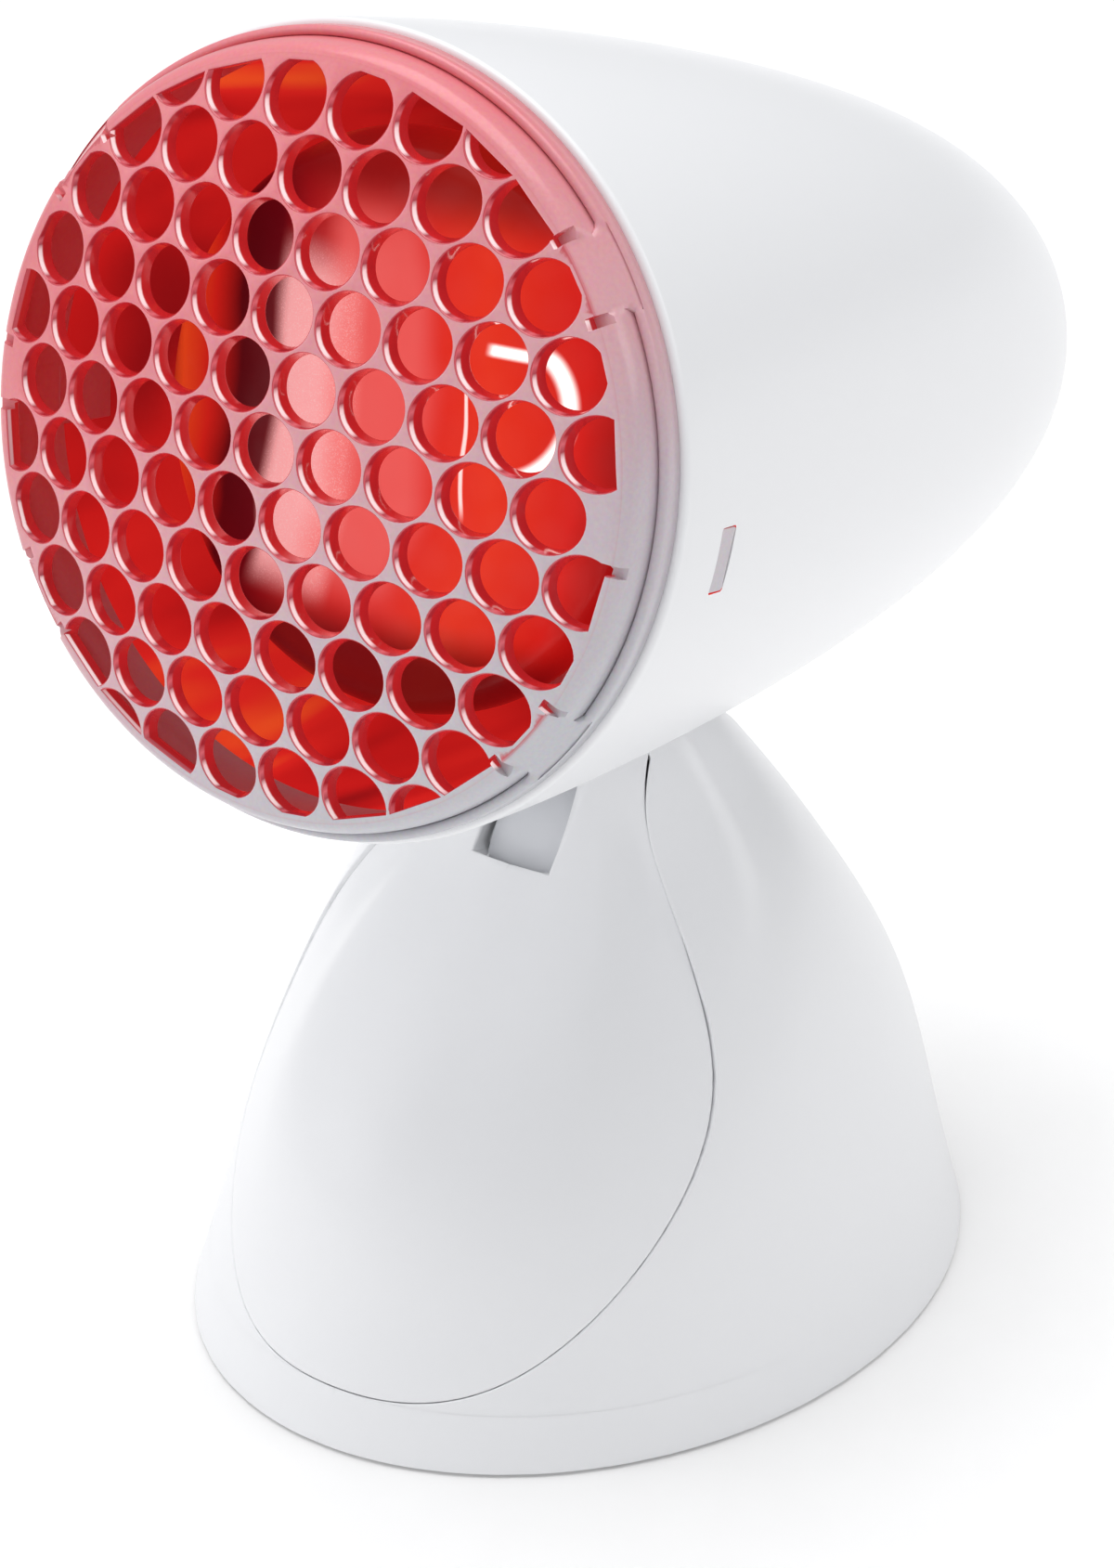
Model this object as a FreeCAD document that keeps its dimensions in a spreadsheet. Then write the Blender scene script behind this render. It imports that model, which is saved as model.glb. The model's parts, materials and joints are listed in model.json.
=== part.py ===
import FreeCAD, Part
import math
import os
import types
import Sketcher
from FreeCAD import Placement, Rotation, Vector

# Infrared heat therapy lamp: a bell-shaped stand with a teardrop front panel, and a bullet-shaped head
# with a red reflector bulb behind a clear perforated guard. The head tilts on a bolt inside the stand.
# Frame: Z up, origin on the floor under the middle of the stand, the lamp shines towards -Y.
# The head's pieces are drawn in the head's own frame: Z along the lamp's axis out through the guard,
# Y up in the plane of the guard, origin at the crown of the guard.

SIZES = {
    # stand: outer half widths and reaches at six heights
    "rim_half_width": 65.6,
    "rim_front_reach": 81.2,
    "rim_rear_reach": 81.2,
    "skirt_height": 20.0,
    "skirt_half_width": 60.9,
    "skirt_front_reach": 72.8,
    "skirt_rear_reach": 75.5,
    "flare_height": 45.0,
    "flare_half_width": 54.0,
    "flare_front_reach": 64.0,
    "flare_rear_reach": 69.5,
    "waist_height": 75.0,
    "waist_half_width": 44.0,
    "waist_front_reach": 37.8,
    "waist_rear_reach": 49.7,
    "neck_height": 89.0,
    "neck_half_width": 37.2,
    "neck_front_reach": 22.8,
    "neck_rear_reach": 38.9,
    "crown_height": 110.0,
    "crown_half_width": 22.4,
    "crown_front_reach": 13.3,
    "crown_rear_reach": 22.5,
    "stand_wall": 2.5,
    "rim_lift": 0.8,
    # front panel: teardrop seam seen from the front, and the hollow along its flanks
    "seam_gap": 0.3,
    "seam_foot_height": 10.0,
    "seam_heel_half_width": 28.6,
    "seam_heel_height": 15.2,
    "seam_belly_half_width": 45.4,
    "seam_belly_height": 42.0,
    "seam_waist_half_width": 33.0,
    "seam_waist_height": 81.6,
    "seam_throat_half_width": 20.7,
    "seam_throat_height": 100.1,
    "seam_neck_half_width": 18.9,
    "seam_neck_height": 109.0,
    "seam_crown_reach": 4.0,
    "flank_hollow": 2.6,
    "shoulder_swell": 0.9,
    "relief_height": 83.0,
    "relief_span": 62.0,
    "relief_run_out": 24.0,
    "notch_height": 88.6,
    # base
    "pad_thickness": 1.6,
    "pad_inset": 3.0,
    "plate_thickness": 3.0,
    "plate_clearance": 0.35,
    "plate_skin": 0.8,
    "panel_post_x": 22.0,
    "panel_post_y": 45.0,
    "shell_post_x": 33.0,
    "shell_post_y": 42.0,
    "post_radius": 3.8,
    # self-tapping screws
    "screw_radius": 1.5,
    "shell_screw_reach": 9.3,
    "bracket_screw_reach": 4.2,
    "arm_screw_reach": 8.0,
    "strap_screw_reach": 5.8,
    "screw_point": 1.5,
    "bore_spare": 0.6,
    "screw_head_radius": 2.9,
    "screw_head_height": 1.7,
    "screw_clearance": 0.2,
    # tilt joint
    "pivot_reach": 2.0,
    "pivot_height": 78.0,
    "bolt_radius": 3.0,
    "bolt_head_flats": 10.0,
    "bolt_head_height": 4.0,
    "nut_height": 5.0,
    "bolt_tail": 1.2,
    "running_clearance": 0.05,
    "arm_width": 14.4,
    "arm_depth": 20.0,
    "knuckle_radius": 23.2,
    "slot_clearance": 0.75,
    "mouth_clearance": 0.3,
    "lead_channel_radius": 2.6,
    "lead_channel_setback": 6.5,
    "friction_washer_radius": 10.5,
    "friction_washer_thickness": 0.8,
    "nut_washer_radius": 6.2,
    "nut_washer_thickness": 1.2,
    "cheek_thickness": 1.5,
    "cheek_width": 26.0,
    "bracket_foot_length": 14.0,
    "detent_step": 11.8,
    "detent_radius": 1.6,
    "detent_lift": 0.35,
    "spring_thickness": 0.6,
    "spring_width": 9.0,
    "spring_foot": 12.0,
    # head, measured from the pivot in the head's own directions
    "head_tilt": 11.8,
    "tilt_up": 23.6,
    "tilt_down": 11.8,
    "head_reach": 109.9,
    "head_rise": 88.4,
    "head_gap": 1.2,
    "housing_radius": 65.1,
    "housing_length": 200.5,
    "housing_taper": 1.37,
    "housing_fullness": 3.0,
    "housing_wall": 2.4,
    "lip_setback": 19.0,
    "vent_width": 2.6,
    "vent_pitch": 6.4,
    "vent_field_radius": 30.0,
    "vent_drop": 14.0,
    "vent_inset": 8.0,
    # guard
    "guard_fall": 0.0025,
    "guard_thickness": 3.2,
    "guard_lip_step": 1.1,
    "guard_edge_width": 4.4,
    "guard_flange_height": 3.6,
    "guard_spigot_depth": 6.0,
    "guard_spigot_wall": 1.7,
    "guard_clearance": 0.4,
    "hole_pitch": 12.3,
    "hole_front_radius": 5.75,
    "hole_throat_radius": 5.3,
    "hole_field_margin": 0.7,
    "slit_width": 1.9,
    "slit_length": 5.8,
    "slit_depth": 7.0,
    "latch_angle": 6.2,
    "latch_setback": 33.5,
    "latch_width": 10.4,
    "latch_height": 3.8,
    "latch_clearance": 0.25,
    "latch_leg_wall": 1.8,
    # bulb
    "bulb_setback": 25.0,
    "bulb_radius": 47.5,
    "bulb_face_radius": 43.5,
    "bulb_face_fall": 9.5,
    "bulb_rim_fall": 15.5,
    "bulb_cup_fall": 55.0,
    "bulb_cup_radius": 34.5,
    "bulb_neck_radius": 15.0,
    "bulb_neck_fall": 92.0,
    "bulb_length": 134.0,
    "bulb_glass_wall": 1.1,
    "stem_radius": 5.0,
    "filament_radius": 9.0,
    "filament_fall": 48.0,
    "filament_wire": 0.7,
    "thread_pitch": 3.63,
    "thread_outer_radius": 13.2,
    "thread_root_radius": 12.3,
    "thread_clearance": 0.25,
    "cap_wall": 0.5,
    "cap_insulator_height": 2.6,
    "cap_contact_radius": 5.0,
    "cap_contact_height": 1.2,
    # lampholder
    "holder_radius": 20.0,
    "holder_floor": 10.0,
    "holder_wall_gap": 0.2,
    "contact_thickness": 0.6,
    "contact_gap": 0.15,
    "holder_screw_spacing": 22.0,
    "strap_thickness": 1.6,
    "strap_width": 18.0,
    "strap_post_spacing": 60.0,
    "strap_post_radius": 4.2,
    # arm flange inside the housing
    "flange_thickness": 3.2,
    "flange_rise": 10.7,
    "flange_screw_x": 12.5,
    "flange_screw_z": 13.0,
    "flange_margin": 5.0,
    # mains inlet
    "inlet_height": 14.0,
    "inlet_bore_radius": 3.2,
    "inlet_sleeve_radius": 5.0,
    "inlet_flange_radius": 7.4,
    "inlet_flange_thickness": 1.8,
    "inlet_length": 11.0,
    "inlet_stand_out": 1.6,
    "block_length": 22.0,
    "block_depth": 15.0,
    "block_height": 11.0,
    "block_reach": 50.5,
    "clamp_reach": 63.0,
    "clamp_length": 24.0,
    "clamp_width": 8.0,
    "clamp_thickness": 2.4,
    "clamp_rise": 6.6,
}

LATTICE_ROWS = (9, 10, 9, 8, 7, 6)
SLIT_ANGLES = (30, 43, -30, -43, 137, 150, -137, -150, 176)
THREAD_TURNS = 6
DETENTS = 4
SECTION_POINTS = 56
FAR = 200.0

doc = FreeCAD.newDocument("heat_lamp")
nodes = {}


class Size(float):
    """A length that carries its own formula in the sheet, so that a property can be bound to it."""

    def __new__(cls, value, text):
        size = float.__new__(cls, value)
        size.text = text
        return size

    def __add__(self, other):
        return Size(float(self) + float(other), f"({self.text} + {formula(other)})")

    def __sub__(self, other):
        return Size(float(self) - float(other), f"({self.text} - {formula(other)})")

    def __mul__(self, other):
        return Size(float(self) * float(other), f"({self.text} * {formula(other)})")

    def __truediv__(self, other):
        return Size(float(self) / float(other), f"({self.text} / {formula(other)})")


def formula(value):
    """The text of a size in the sheet, or of a plain number."""
    return value.text if isinstance(value, Size) else repr(float(value))


def fill_sheet():
    """Put every driving dimension in the sheet and hand them back by name."""
    sheet = doc.addObject("Spreadsheet::Sheet", "Sizes")
    for row, (name, number) in enumerate(SIZES.items(), 1):
        sheet.set(f"A{row}", name)
        sheet.set(f"B{row}", str(number))
        sheet.setAlias(f"B{row}", name)
    doc.recompute()
    return types.SimpleNamespace(**{name: Size(sheet.get(name), "Sizes." + name) for name in SIZES})


dim = fill_sheet()


# Ways of making a piece

def keep(piece, label):
    """Name a finished piece and list it as one of the lamp's nodes."""
    piece.Label = label
    nodes[label] = piece
    return piece


def solid(label, shape, place=None):
    """A piece made with Part's own functions."""
    piece = doc.addObject("Part::Feature", label)
    piece.Shape = shape
    if place is not None:
        piece.Placement = place
    return keep(piece, label)


def bind(piece, **sizes):
    """Tie properties of a primitive to the sheet."""
    for name, size in sizes.items():
        piece.setExpression(name, formula(size))
    return piece


def origin_plane(body, role):
    """One of a body's own base planes."""
    return next(plane for plane in body.Origin.OriginFeatures if plane.Role == role)


def pin_corner(sketch, corner, direction, size):
    """Hold one corner of an outline at a size from the origin."""
    if float(size) == 0.0:
        axis = -2 if direction == "DistanceX" else -1
        sketch.addConstraint(Sketcher.Constraint("PointOnObject", corner, 1, axis))
        return
    index = sketch.addConstraint(Sketcher.Constraint(direction, -1, 1, corner, 1, float(size)))
    if isinstance(size, Size):
        sketch.setExpression(f"Constraints[{index}]", size.text)


def outline_sketch(body, role, corners):
    """A closed outline of straight lines on a base plane, with each corner held by two sizes."""
    sketch = body.newObject("Sketcher::SketchObject", body.Name + "_outline")
    sketch.AttachmentSupport = (origin_plane(body, role), [""])
    sketch.MapMode = "FlatFace"
    points = [Vector(float(across), float(along), 0) for across, along in corners]
    count = len(points)
    for i in range(count):
        sketch.addGeometry(Part.LineSegment(points[i], points[(i + 1) % count]), False)
    for i in range(count):
        sketch.addConstraint(Sketcher.Constraint("Coincident", i, 2, (i + 1) % count, 1))
    for i, (across, along) in enumerate(corners):
        pin_corner(sketch, i, "DistanceX", across)
        pin_corner(sketch, i, "DistanceY", along)
    return sketch


def turned(label, corners, place=None):
    """A turned piece: an outline of (radius, height) corners, revolved about the body's own Z axis."""
    body = doc.addObject("PartDesign::Body", label)
    body.Label = label
    sketch = outline_sketch(body, "XZ_Plane", corners)
    spin = body.newObject("PartDesign::Revolution", label + "_turning")
    spin.Profile = sketch
    spin.ReferenceAxis = (sketch, ["V_Axis"])
    spin.Angle = 360.0
    if place is not None:
        body.Placement = place
    return body


def plate_body(label, corners, thickness, place=None):
    """A flat piece: an outline of (x, y) corners, padded upwards."""
    body = doc.addObject("PartDesign::Body", label)
    body.Label = label
    sketch = outline_sketch(body, "XY_Plane", corners)
    pad = body.newObject("PartDesign::Pad", label + "_pad")
    pad.Profile = sketch
    bind(pad, Length=thickness)
    if place is not None:
        body.Placement = place
    return body


def copies(label, pattern, places):
    """Identical pieces as separate solids in one node."""
    doc.recompute()
    shapes = []
    for place in places:
        shape = pattern.Shape.copy()
        shape.Placement = place
        shapes.append(shape)
    return solid(label, Part.makeCompound(shapes))


def rod(radius, start, end):
    """A round bar between two points."""
    return Part.makeCylinder(radius, (end - start).Length, start, end - start)


def block(low, high):
    """A box between two corners."""
    return Part.makeBox(high[0] - low[0], high[1] - low[1], high[2] - low[2], Vector(*low))


def prism(points, depth):
    """A polygon drawn in space, extruded along a vector."""
    return Part.Face(Part.makePolygon(points + points[:1])).extrude(depth)


def smooth(points, closed=False, ends=None):
    """A curve through points."""
    curve = Part.BSplineCurve()
    if ends:
        curve.interpolate(Points=points, InitialTangent=ends[0], FinalTangent=ends[1])
    else:
        curve.interpolate(Points=points, PeriodicFlag=closed)
    return curve.toShape()


def revolved(edges):
    """A full turn of a closed profile in the XZ plane about the Z axis."""
    face = Part.Face(Part.Wire(Part.__sortEdges__(edges)))
    return face.revolve(Vector(0, 0, 0), Vector(0, 0, 1), 360)


def natural_spline(knots, values):
    """The cubic through the values with no bend at its ends, as a function of height."""
    count = len(knots)
    bend = [0.0] * count
    carry = [0.0] * count
    for i in range(1, count - 1):
        before = knots[i] - knots[i - 1]
        after = knots[i + 1] - knots[i]
        slope_change = (values[i + 1] - values[i]) / after - (values[i] - values[i - 1]) / before
        weight = 2 * (before + after) - before * carry[i - 1]
        carry[i] = after / weight
        bend[i] = (6 * slope_change - before * bend[i - 1]) / weight
    for i in range(count - 2, 0, -1):
        bend[i] -= carry[i] * bend[i + 1]

    def at(height):
        i = max(0, min(count - 2, sum(knot <= height for knot in knots) - 1))
        span = knots[i + 1] - knots[i]
        rise = (knots[i + 1] - height) / span
        run = (height - knots[i]) / span
        curve = (rise ** 3 - rise) * bend[i] + (run ** 3 - run) * bend[i + 1]
        return rise * values[i] + run * values[i + 1] + curve * span * span / 6

    return at


# Places shared by the pieces

PIVOT = Vector(0, dim.pivot_reach, dim.pivot_height)
TILT = math.radians(dim.head_tilt)
HEAD_FORWARD = Vector(0, -math.cos(TILT), math.sin(TILT))
HEAD_UP = Vector(0, math.sin(TILT), math.cos(TILT))
HEAD = Placement(
    PIVOT + HEAD_FORWARD * float(dim.head_reach) + HEAD_UP * float(dim.head_rise),
    Rotation(Vector(1, 0, 0), 90.0 - dim.head_tilt),
)
HEAD_PIVOT = Vector(0, -dim.head_rise, -dim.head_reach)
ACROSS = Rotation(Vector(0, 1, 0), 90)
PLATE_FLOOR = float(dim.pad_thickness)
PLATE_TOP = PLATE_FLOOR + dim.plate_thickness
PLATE_BITE = dim.plate_thickness - dim.plate_skin


def in_head(x, y, z, turn=Rotation()):
    """A placement given in the head's own frame."""
    return HEAD.multiply(Placement(Vector(x, y, z), turn))


# Stand shells

STATIONS = [
    0.0,
    float(dim.skirt_height),
    float(dim.flare_height),
    float(dim.waist_height),
    float(dim.neck_height),
    float(dim.crown_height),
]
half_width = natural_spline(STATIONS, [
    dim.rim_half_width,
    dim.skirt_half_width,
    dim.flare_half_width,
    dim.waist_half_width,
    dim.neck_half_width,
    dim.crown_half_width,
])
front_reach = natural_spline(STATIONS, [
    dim.rim_front_reach,
    dim.skirt_front_reach,
    dim.flare_front_reach,
    dim.waist_front_reach,
    dim.neck_front_reach,
    dim.crown_front_reach,
])
rear_reach = natural_spline(STATIONS, [
    dim.rim_rear_reach,
    dim.skirt_rear_reach,
    dim.flare_rear_reach,
    dim.waist_rear_reach,
    dim.neck_rear_reach,
    dim.crown_rear_reach,
])
SEAM_SIDE = [
    (dim.seam_heel_half_width, float(dim.seam_heel_height)),
    (dim.seam_belly_half_width, float(dim.seam_belly_height)),
    (dim.seam_waist_half_width, float(dim.seam_waist_height)),
    (dim.seam_throat_half_width, float(dim.seam_throat_height)),
    (dim.seam_neck_half_width, float(dim.seam_neck_height)),
]
seam_half_width = natural_spline([height for _, height in SEAM_SIDE], [width for width, _ in SEAM_SIDE])
SWELL_SHARE, SWELL_REACH = 0.5, 0.3
HOLLOW_SHARE, HOLLOW_REACH = 0.86, 0.26
RELIEF_FADE = 8


def window(value, middle, reach):
    """A soft bump: one at the middle, nothing beyond its reach."""
    away = min(1.0, abs(value - middle) / reach)
    return math.cos(away * math.pi / 2) ** 2


def panel_relief(across, height, wide):
    """How far the panel stands out from the bell: a swelling shoulder, then a hollow beside the seam."""
    seam = max(1.0, seam_half_width(min(height, float(dim.seam_neck_height))))
    share = abs(across) / seam
    swell = dim.shoulder_swell * window(share, SWELL_SHARE, SWELL_REACH)
    hollow = dim.flank_hollow * window(share, HOLLOW_SHARE, HOLLOW_REACH)
    fade = 1 - (across / wide) ** RELIEF_FADE
    span = dim.relief_span if height < dim.relief_height else dim.relief_run_out
    return fade * window(height, dim.relief_height, span) * (swell - hollow)


def inward(reach, height, inset):
    """A reach taken in so that the wall keeps its thickness on the slope."""
    slope = reach(height + 0.5) - reach(height - 0.5)
    return reach(height) - inset * math.hypot(1.0, slope)


def bell_section(height, inset, relief):
    """One level of the bell: two half ellipses, with the panel's relief on the front."""
    wide = inward(half_width, height, inset)
    front = inward(front_reach, height, inset)
    rear = inward(rear_reach, height, inset)
    points = []
    for i in range(SECTION_POINTS):
        turn = 2 * math.pi * i / SECTION_POINTS
        x = wide * math.cos(turn)
        y = (rear if math.sin(turn) > 0 else front) * math.sin(turn)
        if relief and y < 0:
            normal = Vector(x / wide ** 2, y / front ** 2, 0).normalize()
            x, y, _ = Vector(x, y, 0) + normal * panel_relief(x, height, wide)
        points.append(Vector(x, y, height))
    return Part.Wire(smooth(points, closed=True))


def bell(inset, relief=False):
    """The stand's bell as a solid, from below the floor edge to above the crown."""
    foot = float(dim.rim_lift) if inset == 0 else -1.0
    top = dim.crown_height + 6.0
    levels = [foot] + [foot + (top - foot) * (i / 11) for i in range(1, 12)]
    return Part.makeLoft([bell_section(level, inset, relief) for level in levels], True, False)


def housing_outline_radius(setback):
    """The housing's outer radius at a distance behind its lip."""
    share = max(0.0, min(1.0, setback / dim.housing_length))
    return dim.housing_radius * (1 - share ** dim.housing_taper) ** (1 / dim.housing_fullness)


PIVOT_STATION = dim.head_reach - dim.lip_setback
HEAD_BELLY = housing_outline_radius(PIVOT_STATION)
SADDLE_RADIUS = min(
    math.hypot(step, dim.head_rise - housing_outline_radius(PIVOT_STATION - step)) for step in range(-10, 30)
) - dim.head_gap
SADDLE_FRONT = -25.0
SADDLE_REAR = dim.head_tilt + dim.tilt_up
SADDLE_RUN_OUT = 80.0
FLANGE_DROP = HEAD_BELLY - dim.flange_rise


def head_room(inset):
    """The space over the crown that the head sweeps: a saddle about the tilt bolt, with straight run-outs."""
    wires = []
    for across in (-44.0, -22.0, 0.0, 22.0, 44.0):
        lift = HEAD_BELLY - math.sqrt(HEAD_BELLY ** 2 - across ** 2)
        radius = SADDLE_RADIUS + lift - inset

        def at(angle, reach=0.0):
            turn = math.radians(angle)
            out = Vector(0, math.sin(turn), math.cos(turn)) * radius
            along = Vector(0, math.cos(turn), -math.sin(turn)) * reach
            return Vector(across, 0, 0) + PIVOT + out + along

        front, middle, rear = at(SADDLE_FRONT), at((SADDLE_FRONT + SADDLE_REAR) / 2), at(SADDLE_REAR)
        front_end, rear_end = at(SADDLE_FRONT, -SADDLE_RUN_OUT), at(SADDLE_REAR, SADDLE_RUN_OUT)
        top_rear = Vector(across, rear_end.y, FAR)
        top_front = Vector(across, front_end.y, FAR)
        wires.append(Part.Wire([
            Part.makeLine(front_end, front),
            Part.Arc(front, middle, rear).toShape(),
            Part.makeLine(rear, rear_end),
            Part.makeLine(rear_end, top_rear),
            Part.makeLine(top_rear, top_front),
            Part.makeLine(top_front, front_end),
        ]))
    return Part.makeLoft(wires, True, False)


def panel_prism(inset):
    """The teardrop seen from the front, drawn out through the front of the bell."""
    right = [Vector(width - inset, 0, height) for width, height in SEAM_SIDE]
    right[0] += Vector(0, 0, inset * 0.7)
    left = [Vector(-point.x, 0, point.z) for point in reversed(right)]
    foot = Vector(0, 0, dim.seam_foot_height + inset)
    seam = smooth(left + [foot] + right, ends=(Vector(-0.1, 0, -1), Vector(-0.1, 0, 1)))
    top_right = right[-1] + Vector(0, 0, 40)
    top_left = left[0] + Vector(0, 0, 40)
    wire = Part.Wire([
        seam,
        Part.makeLine(right[-1], top_right),
        Part.makeLine(top_right, top_left),
        Part.makeLine(top_left, left[0]),
    ])
    teardrop = Part.Face(wire)
    teardrop.translate(Vector(0, -(dim.seam_crown_reach + inset), 0))
    return teardrop.extrude(Vector(0, -FAR, 0))


def arm_slot():
    """The slot over the crown for the arm, open at the front down to the notch."""
    half = dim.arm_width / 2 + dim.slot_clearance
    swing = math.degrees(math.asin(dim.arm_depth / 2 / (SADDLE_RADIUS - dim.stand_wall)))
    turn = math.radians(SADDLE_REAR + swing + 2.0)
    ray = Vector(0, math.sin(turn), math.cos(turn)) * FAR
    start = PIVOT - Vector(half, 0, 0)
    points = [
        Vector(start.x, -FAR, dim.notch_height),
        Vector(start.x, start.y, dim.notch_height),
        start,
        start + ray,
        Vector(start.x, start.y + ray.y, FAR * 2),
        Vector(start.x, -FAR, FAR * 2),
    ]
    return prism(points, Vector(2 * half, 0, 0))


def screw_post(x, y, outer):
    """A post from the base plate up to the underside of a shell, bored for its screw."""
    column = rod(dim.post_radius, Vector(x, y, PLATE_TOP), Vector(x, y, dim.crown_height))
    return column.common(outer)


def post_bore(x, y):
    """The blind bore that the screw cuts its thread in."""
    top = PLATE_FLOOR + dim.screw_head_height + dim.shell_screw_reach + dim.bore_spare
    return rod(dim.screw_radius, Vector(x, y, PLATE_TOP - 1.0), Vector(x, y, top))


def mirrored(x, y):
    """The two places on either side of the lamp's middle plane."""
    return [(-x, y), (x, y)]


PANEL_POSTS = mirrored(float(dim.panel_post_x), -float(dim.panel_post_y))
SHELL_POSTS = mirrored(float(dim.shell_post_x), float(dim.shell_post_y))
INLET_CLEARANCE = 0.1
inlet_axis_reach = rear_reach(float(dim.inlet_height))


def make_shells():
    """The rear shell with its skirt and crown, and the front panel that closes it."""
    crown_cut = head_room(0.0)
    crown_core = head_room(float(dim.stand_wall))
    slot = arm_slot()
    inner = bell(float(dim.stand_wall)).cut(crown_core)
    outer = bell(0.0).cut(crown_cut)
    shell = outer.cut(inner).cut(panel_prism(0.0)).cut(slot)
    shell = shell.fuse([screw_post(x, y, outer) for x, y in SHELL_POSTS])
    shell = shell.cut([post_bore(x, y) for x, y in SHELL_POSTS])
    sleeve = Vector(0, inlet_axis_reach, dim.inlet_height)
    through = Vector(0, dim.inlet_length * 2, 0)
    hole = rod(dim.inlet_sleeve_radius + INLET_CLEARANCE, sleeve - through, sleeve + through)
    solid("stand_rear_shell", shell.cut(hole))

    panel_outer = bell(0.0, relief=True).cut(crown_cut)
    panel_inner = bell(float(dim.stand_wall), relief=True).cut(crown_core)
    panel = panel_outer.cut(panel_inner).common(panel_prism(float(dim.seam_gap))).cut(slot)
    panel = panel.fuse([screw_post(x, y, panel_outer) for x, y in PANEL_POSTS])
    panel = panel.cut([post_bore(x, y) for x, y in PANEL_POSTS])
    solid("stand_front_panel", panel)


# Base

BRACKET_SCREWS = [
    (side * (dim.arm_width / 2 + dim.bracket_foot_length - 3.0), dim.pivot_reach + step)
    for side in (-1, 1) for step in (-8.0, 8.0)]
SPRING_FOOT_REACH = dim.pivot_reach + dim.knuckle_radius + dim.detent_lift + dim.detent_radius * 0.5
SPRING_SCREW = (0.0, SPRING_FOOT_REACH + dim.spring_thickness + dim.spring_foot / 2)
CLAMP_SCREWS = mirrored(dim.clamp_length / 2 - 3.6, float(dim.clamp_reach))
BLOCK_SCREW = (0.0, float(dim.block_reach))


def base_outline(inset, height):
    """The bell's level at a height, taken in, as a flat face."""
    face = Part.Face(bell_section(height, inset, False))
    face.translate(Vector(0, 0, -height))
    return face


def make_base():
    """The plate that closes the stand, and the rubber pad under it."""
    inset = dim.stand_wall + dim.plate_clearance
    plate = base_outline(inset, PLATE_TOP).extrude(Vector(0, 0, dim.plate_thickness))
    plate.translate(Vector(0, 0, PLATE_FLOOR))
    pad = base_outline(inset + dim.pad_inset, PLATE_TOP).extrude(Vector(0, 0, dim.pad_thickness))
    recess_radius = dim.screw_head_radius + dim.screw_clearance
    recess_top = PLATE_FLOOR + dim.screw_head_height
    bores = []
    for x, y in PANEL_POSTS + SHELL_POSTS + BRACKET_SCREWS:
        bores.append(rod(dim.screw_radius + dim.screw_clearance, Vector(x, y, -1), Vector(x, y, FAR)))
        bores.append(rod(recess_radius, Vector(x, y, -1), Vector(x, y, recess_top)))
    for x, y in CLAMP_SCREWS + [SPRING_SCREW, BLOCK_SCREW]:
        bores.append(rod(dim.screw_radius, Vector(x, y, PLATE_FLOOR + dim.plate_skin / 2), Vector(x, y, FAR)))
    solid("base_plate", plate.cut(bores))
    solid("base_pad", pad.cut([b for b in bores if b.BoundBox.ZMin < 0]))


def screw(label, reach):
    """A self-tapping screw, head down with its tip upwards, by its reach under the head."""
    head = dim.screw_head_height
    return turned(label + "_pattern", [
        (0, 0),
        (dim.screw_head_radius, 0),
        (dim.screw_head_radius, head),
        (dim.screw_radius, head),
        (dim.screw_radius, head + reach - dim.screw_point),
        (0, head + reach),
    ])


def screws_from_below(label, reach, spots):
    """Screws driven up through the base plate."""
    places = [Placement(Vector(x, y, PLATE_FLOOR), Rotation()) for x, y in spots]
    return copies(label, screw(label, reach), places)


def screws_from_above(label, reach, spots, seat):
    """Screws driven down, their heads resting at the seat's height."""
    flip = Rotation(Vector(1, 0, 0), 180)
    top = seat + dim.screw_head_height
    return copies(label, screw(label, reach), [Placement(Vector(x, y, top), flip) for x, y in spots])


# Tilt joint in the stand

CHEEK_INNER = dim.arm_width / 2 + dim.friction_washer_thickness + dim.running_clearance
CHEEK_OUTER = CHEEK_INNER + dim.cheek_thickness


def make_pivot_bracket():
    """A folded steel bracket: a foot on the base plate and two cheeks that carry the tilt bolt."""
    half = dim.cheek_width / 2
    foot_half = dim.arm_width / 2 + dim.bracket_foot_length + 2.0
    foot_top = PLATE_TOP + dim.cheek_thickness
    foot_rear = SPRING_FOOT_REACH + dim.spring_thickness + dim.spring_foot
    tab_half = dim.spring_width / 2 + 2.0
    pieces = [
        block((-foot_half, PIVOT.y - half, PLATE_TOP), (foot_half, PIVOT.y + half, foot_top)),
        block((-tab_half, PIVOT.y, PLATE_TOP), (tab_half, foot_rear, foot_top)),
    ]
    for side in (-1, 1):
        inner, outer = sorted((side * CHEEK_INNER, side * CHEEK_OUTER))
        pieces.append(block((inner, PIVOT.y - half, PLATE_TOP), (outer, PIVOT.y + half, PIVOT.z)))
        crown = rod(half, Vector(inner, PIVOT.y, PIVOT.z), Vector(outer, PIVOT.y, PIVOT.z))
        pieces.append(crown)
    bracket = pieces[0].fuse(pieces[1:]).removeSplitter()
    bores = [rod(dim.bolt_radius + 0.05, PIVOT - Vector(30, 0, 0), PIVOT + Vector(30, 0, 0))]
    for x, y in BRACKET_SCREWS:
        bores.append(rod(dim.screw_radius, Vector(x, y, 0), Vector(x, y, foot_top + 1)))
    x, y = SPRING_SCREW
    bores.append(rod(dim.screw_radius + dim.screw_clearance, Vector(x, y, 0), Vector(x, y, foot_top + 1)))
    solid("pivot_bracket", bracket.cut(bores))
    return foot_top


def hexagon(flats):
    """A hexagon's corners by its width across flats."""
    reach = flats / math.sqrt(3)
    return [(reach * math.cos(i * math.pi / 3), reach * math.sin(i * math.pi / 3)) for i in range(6)]


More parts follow.
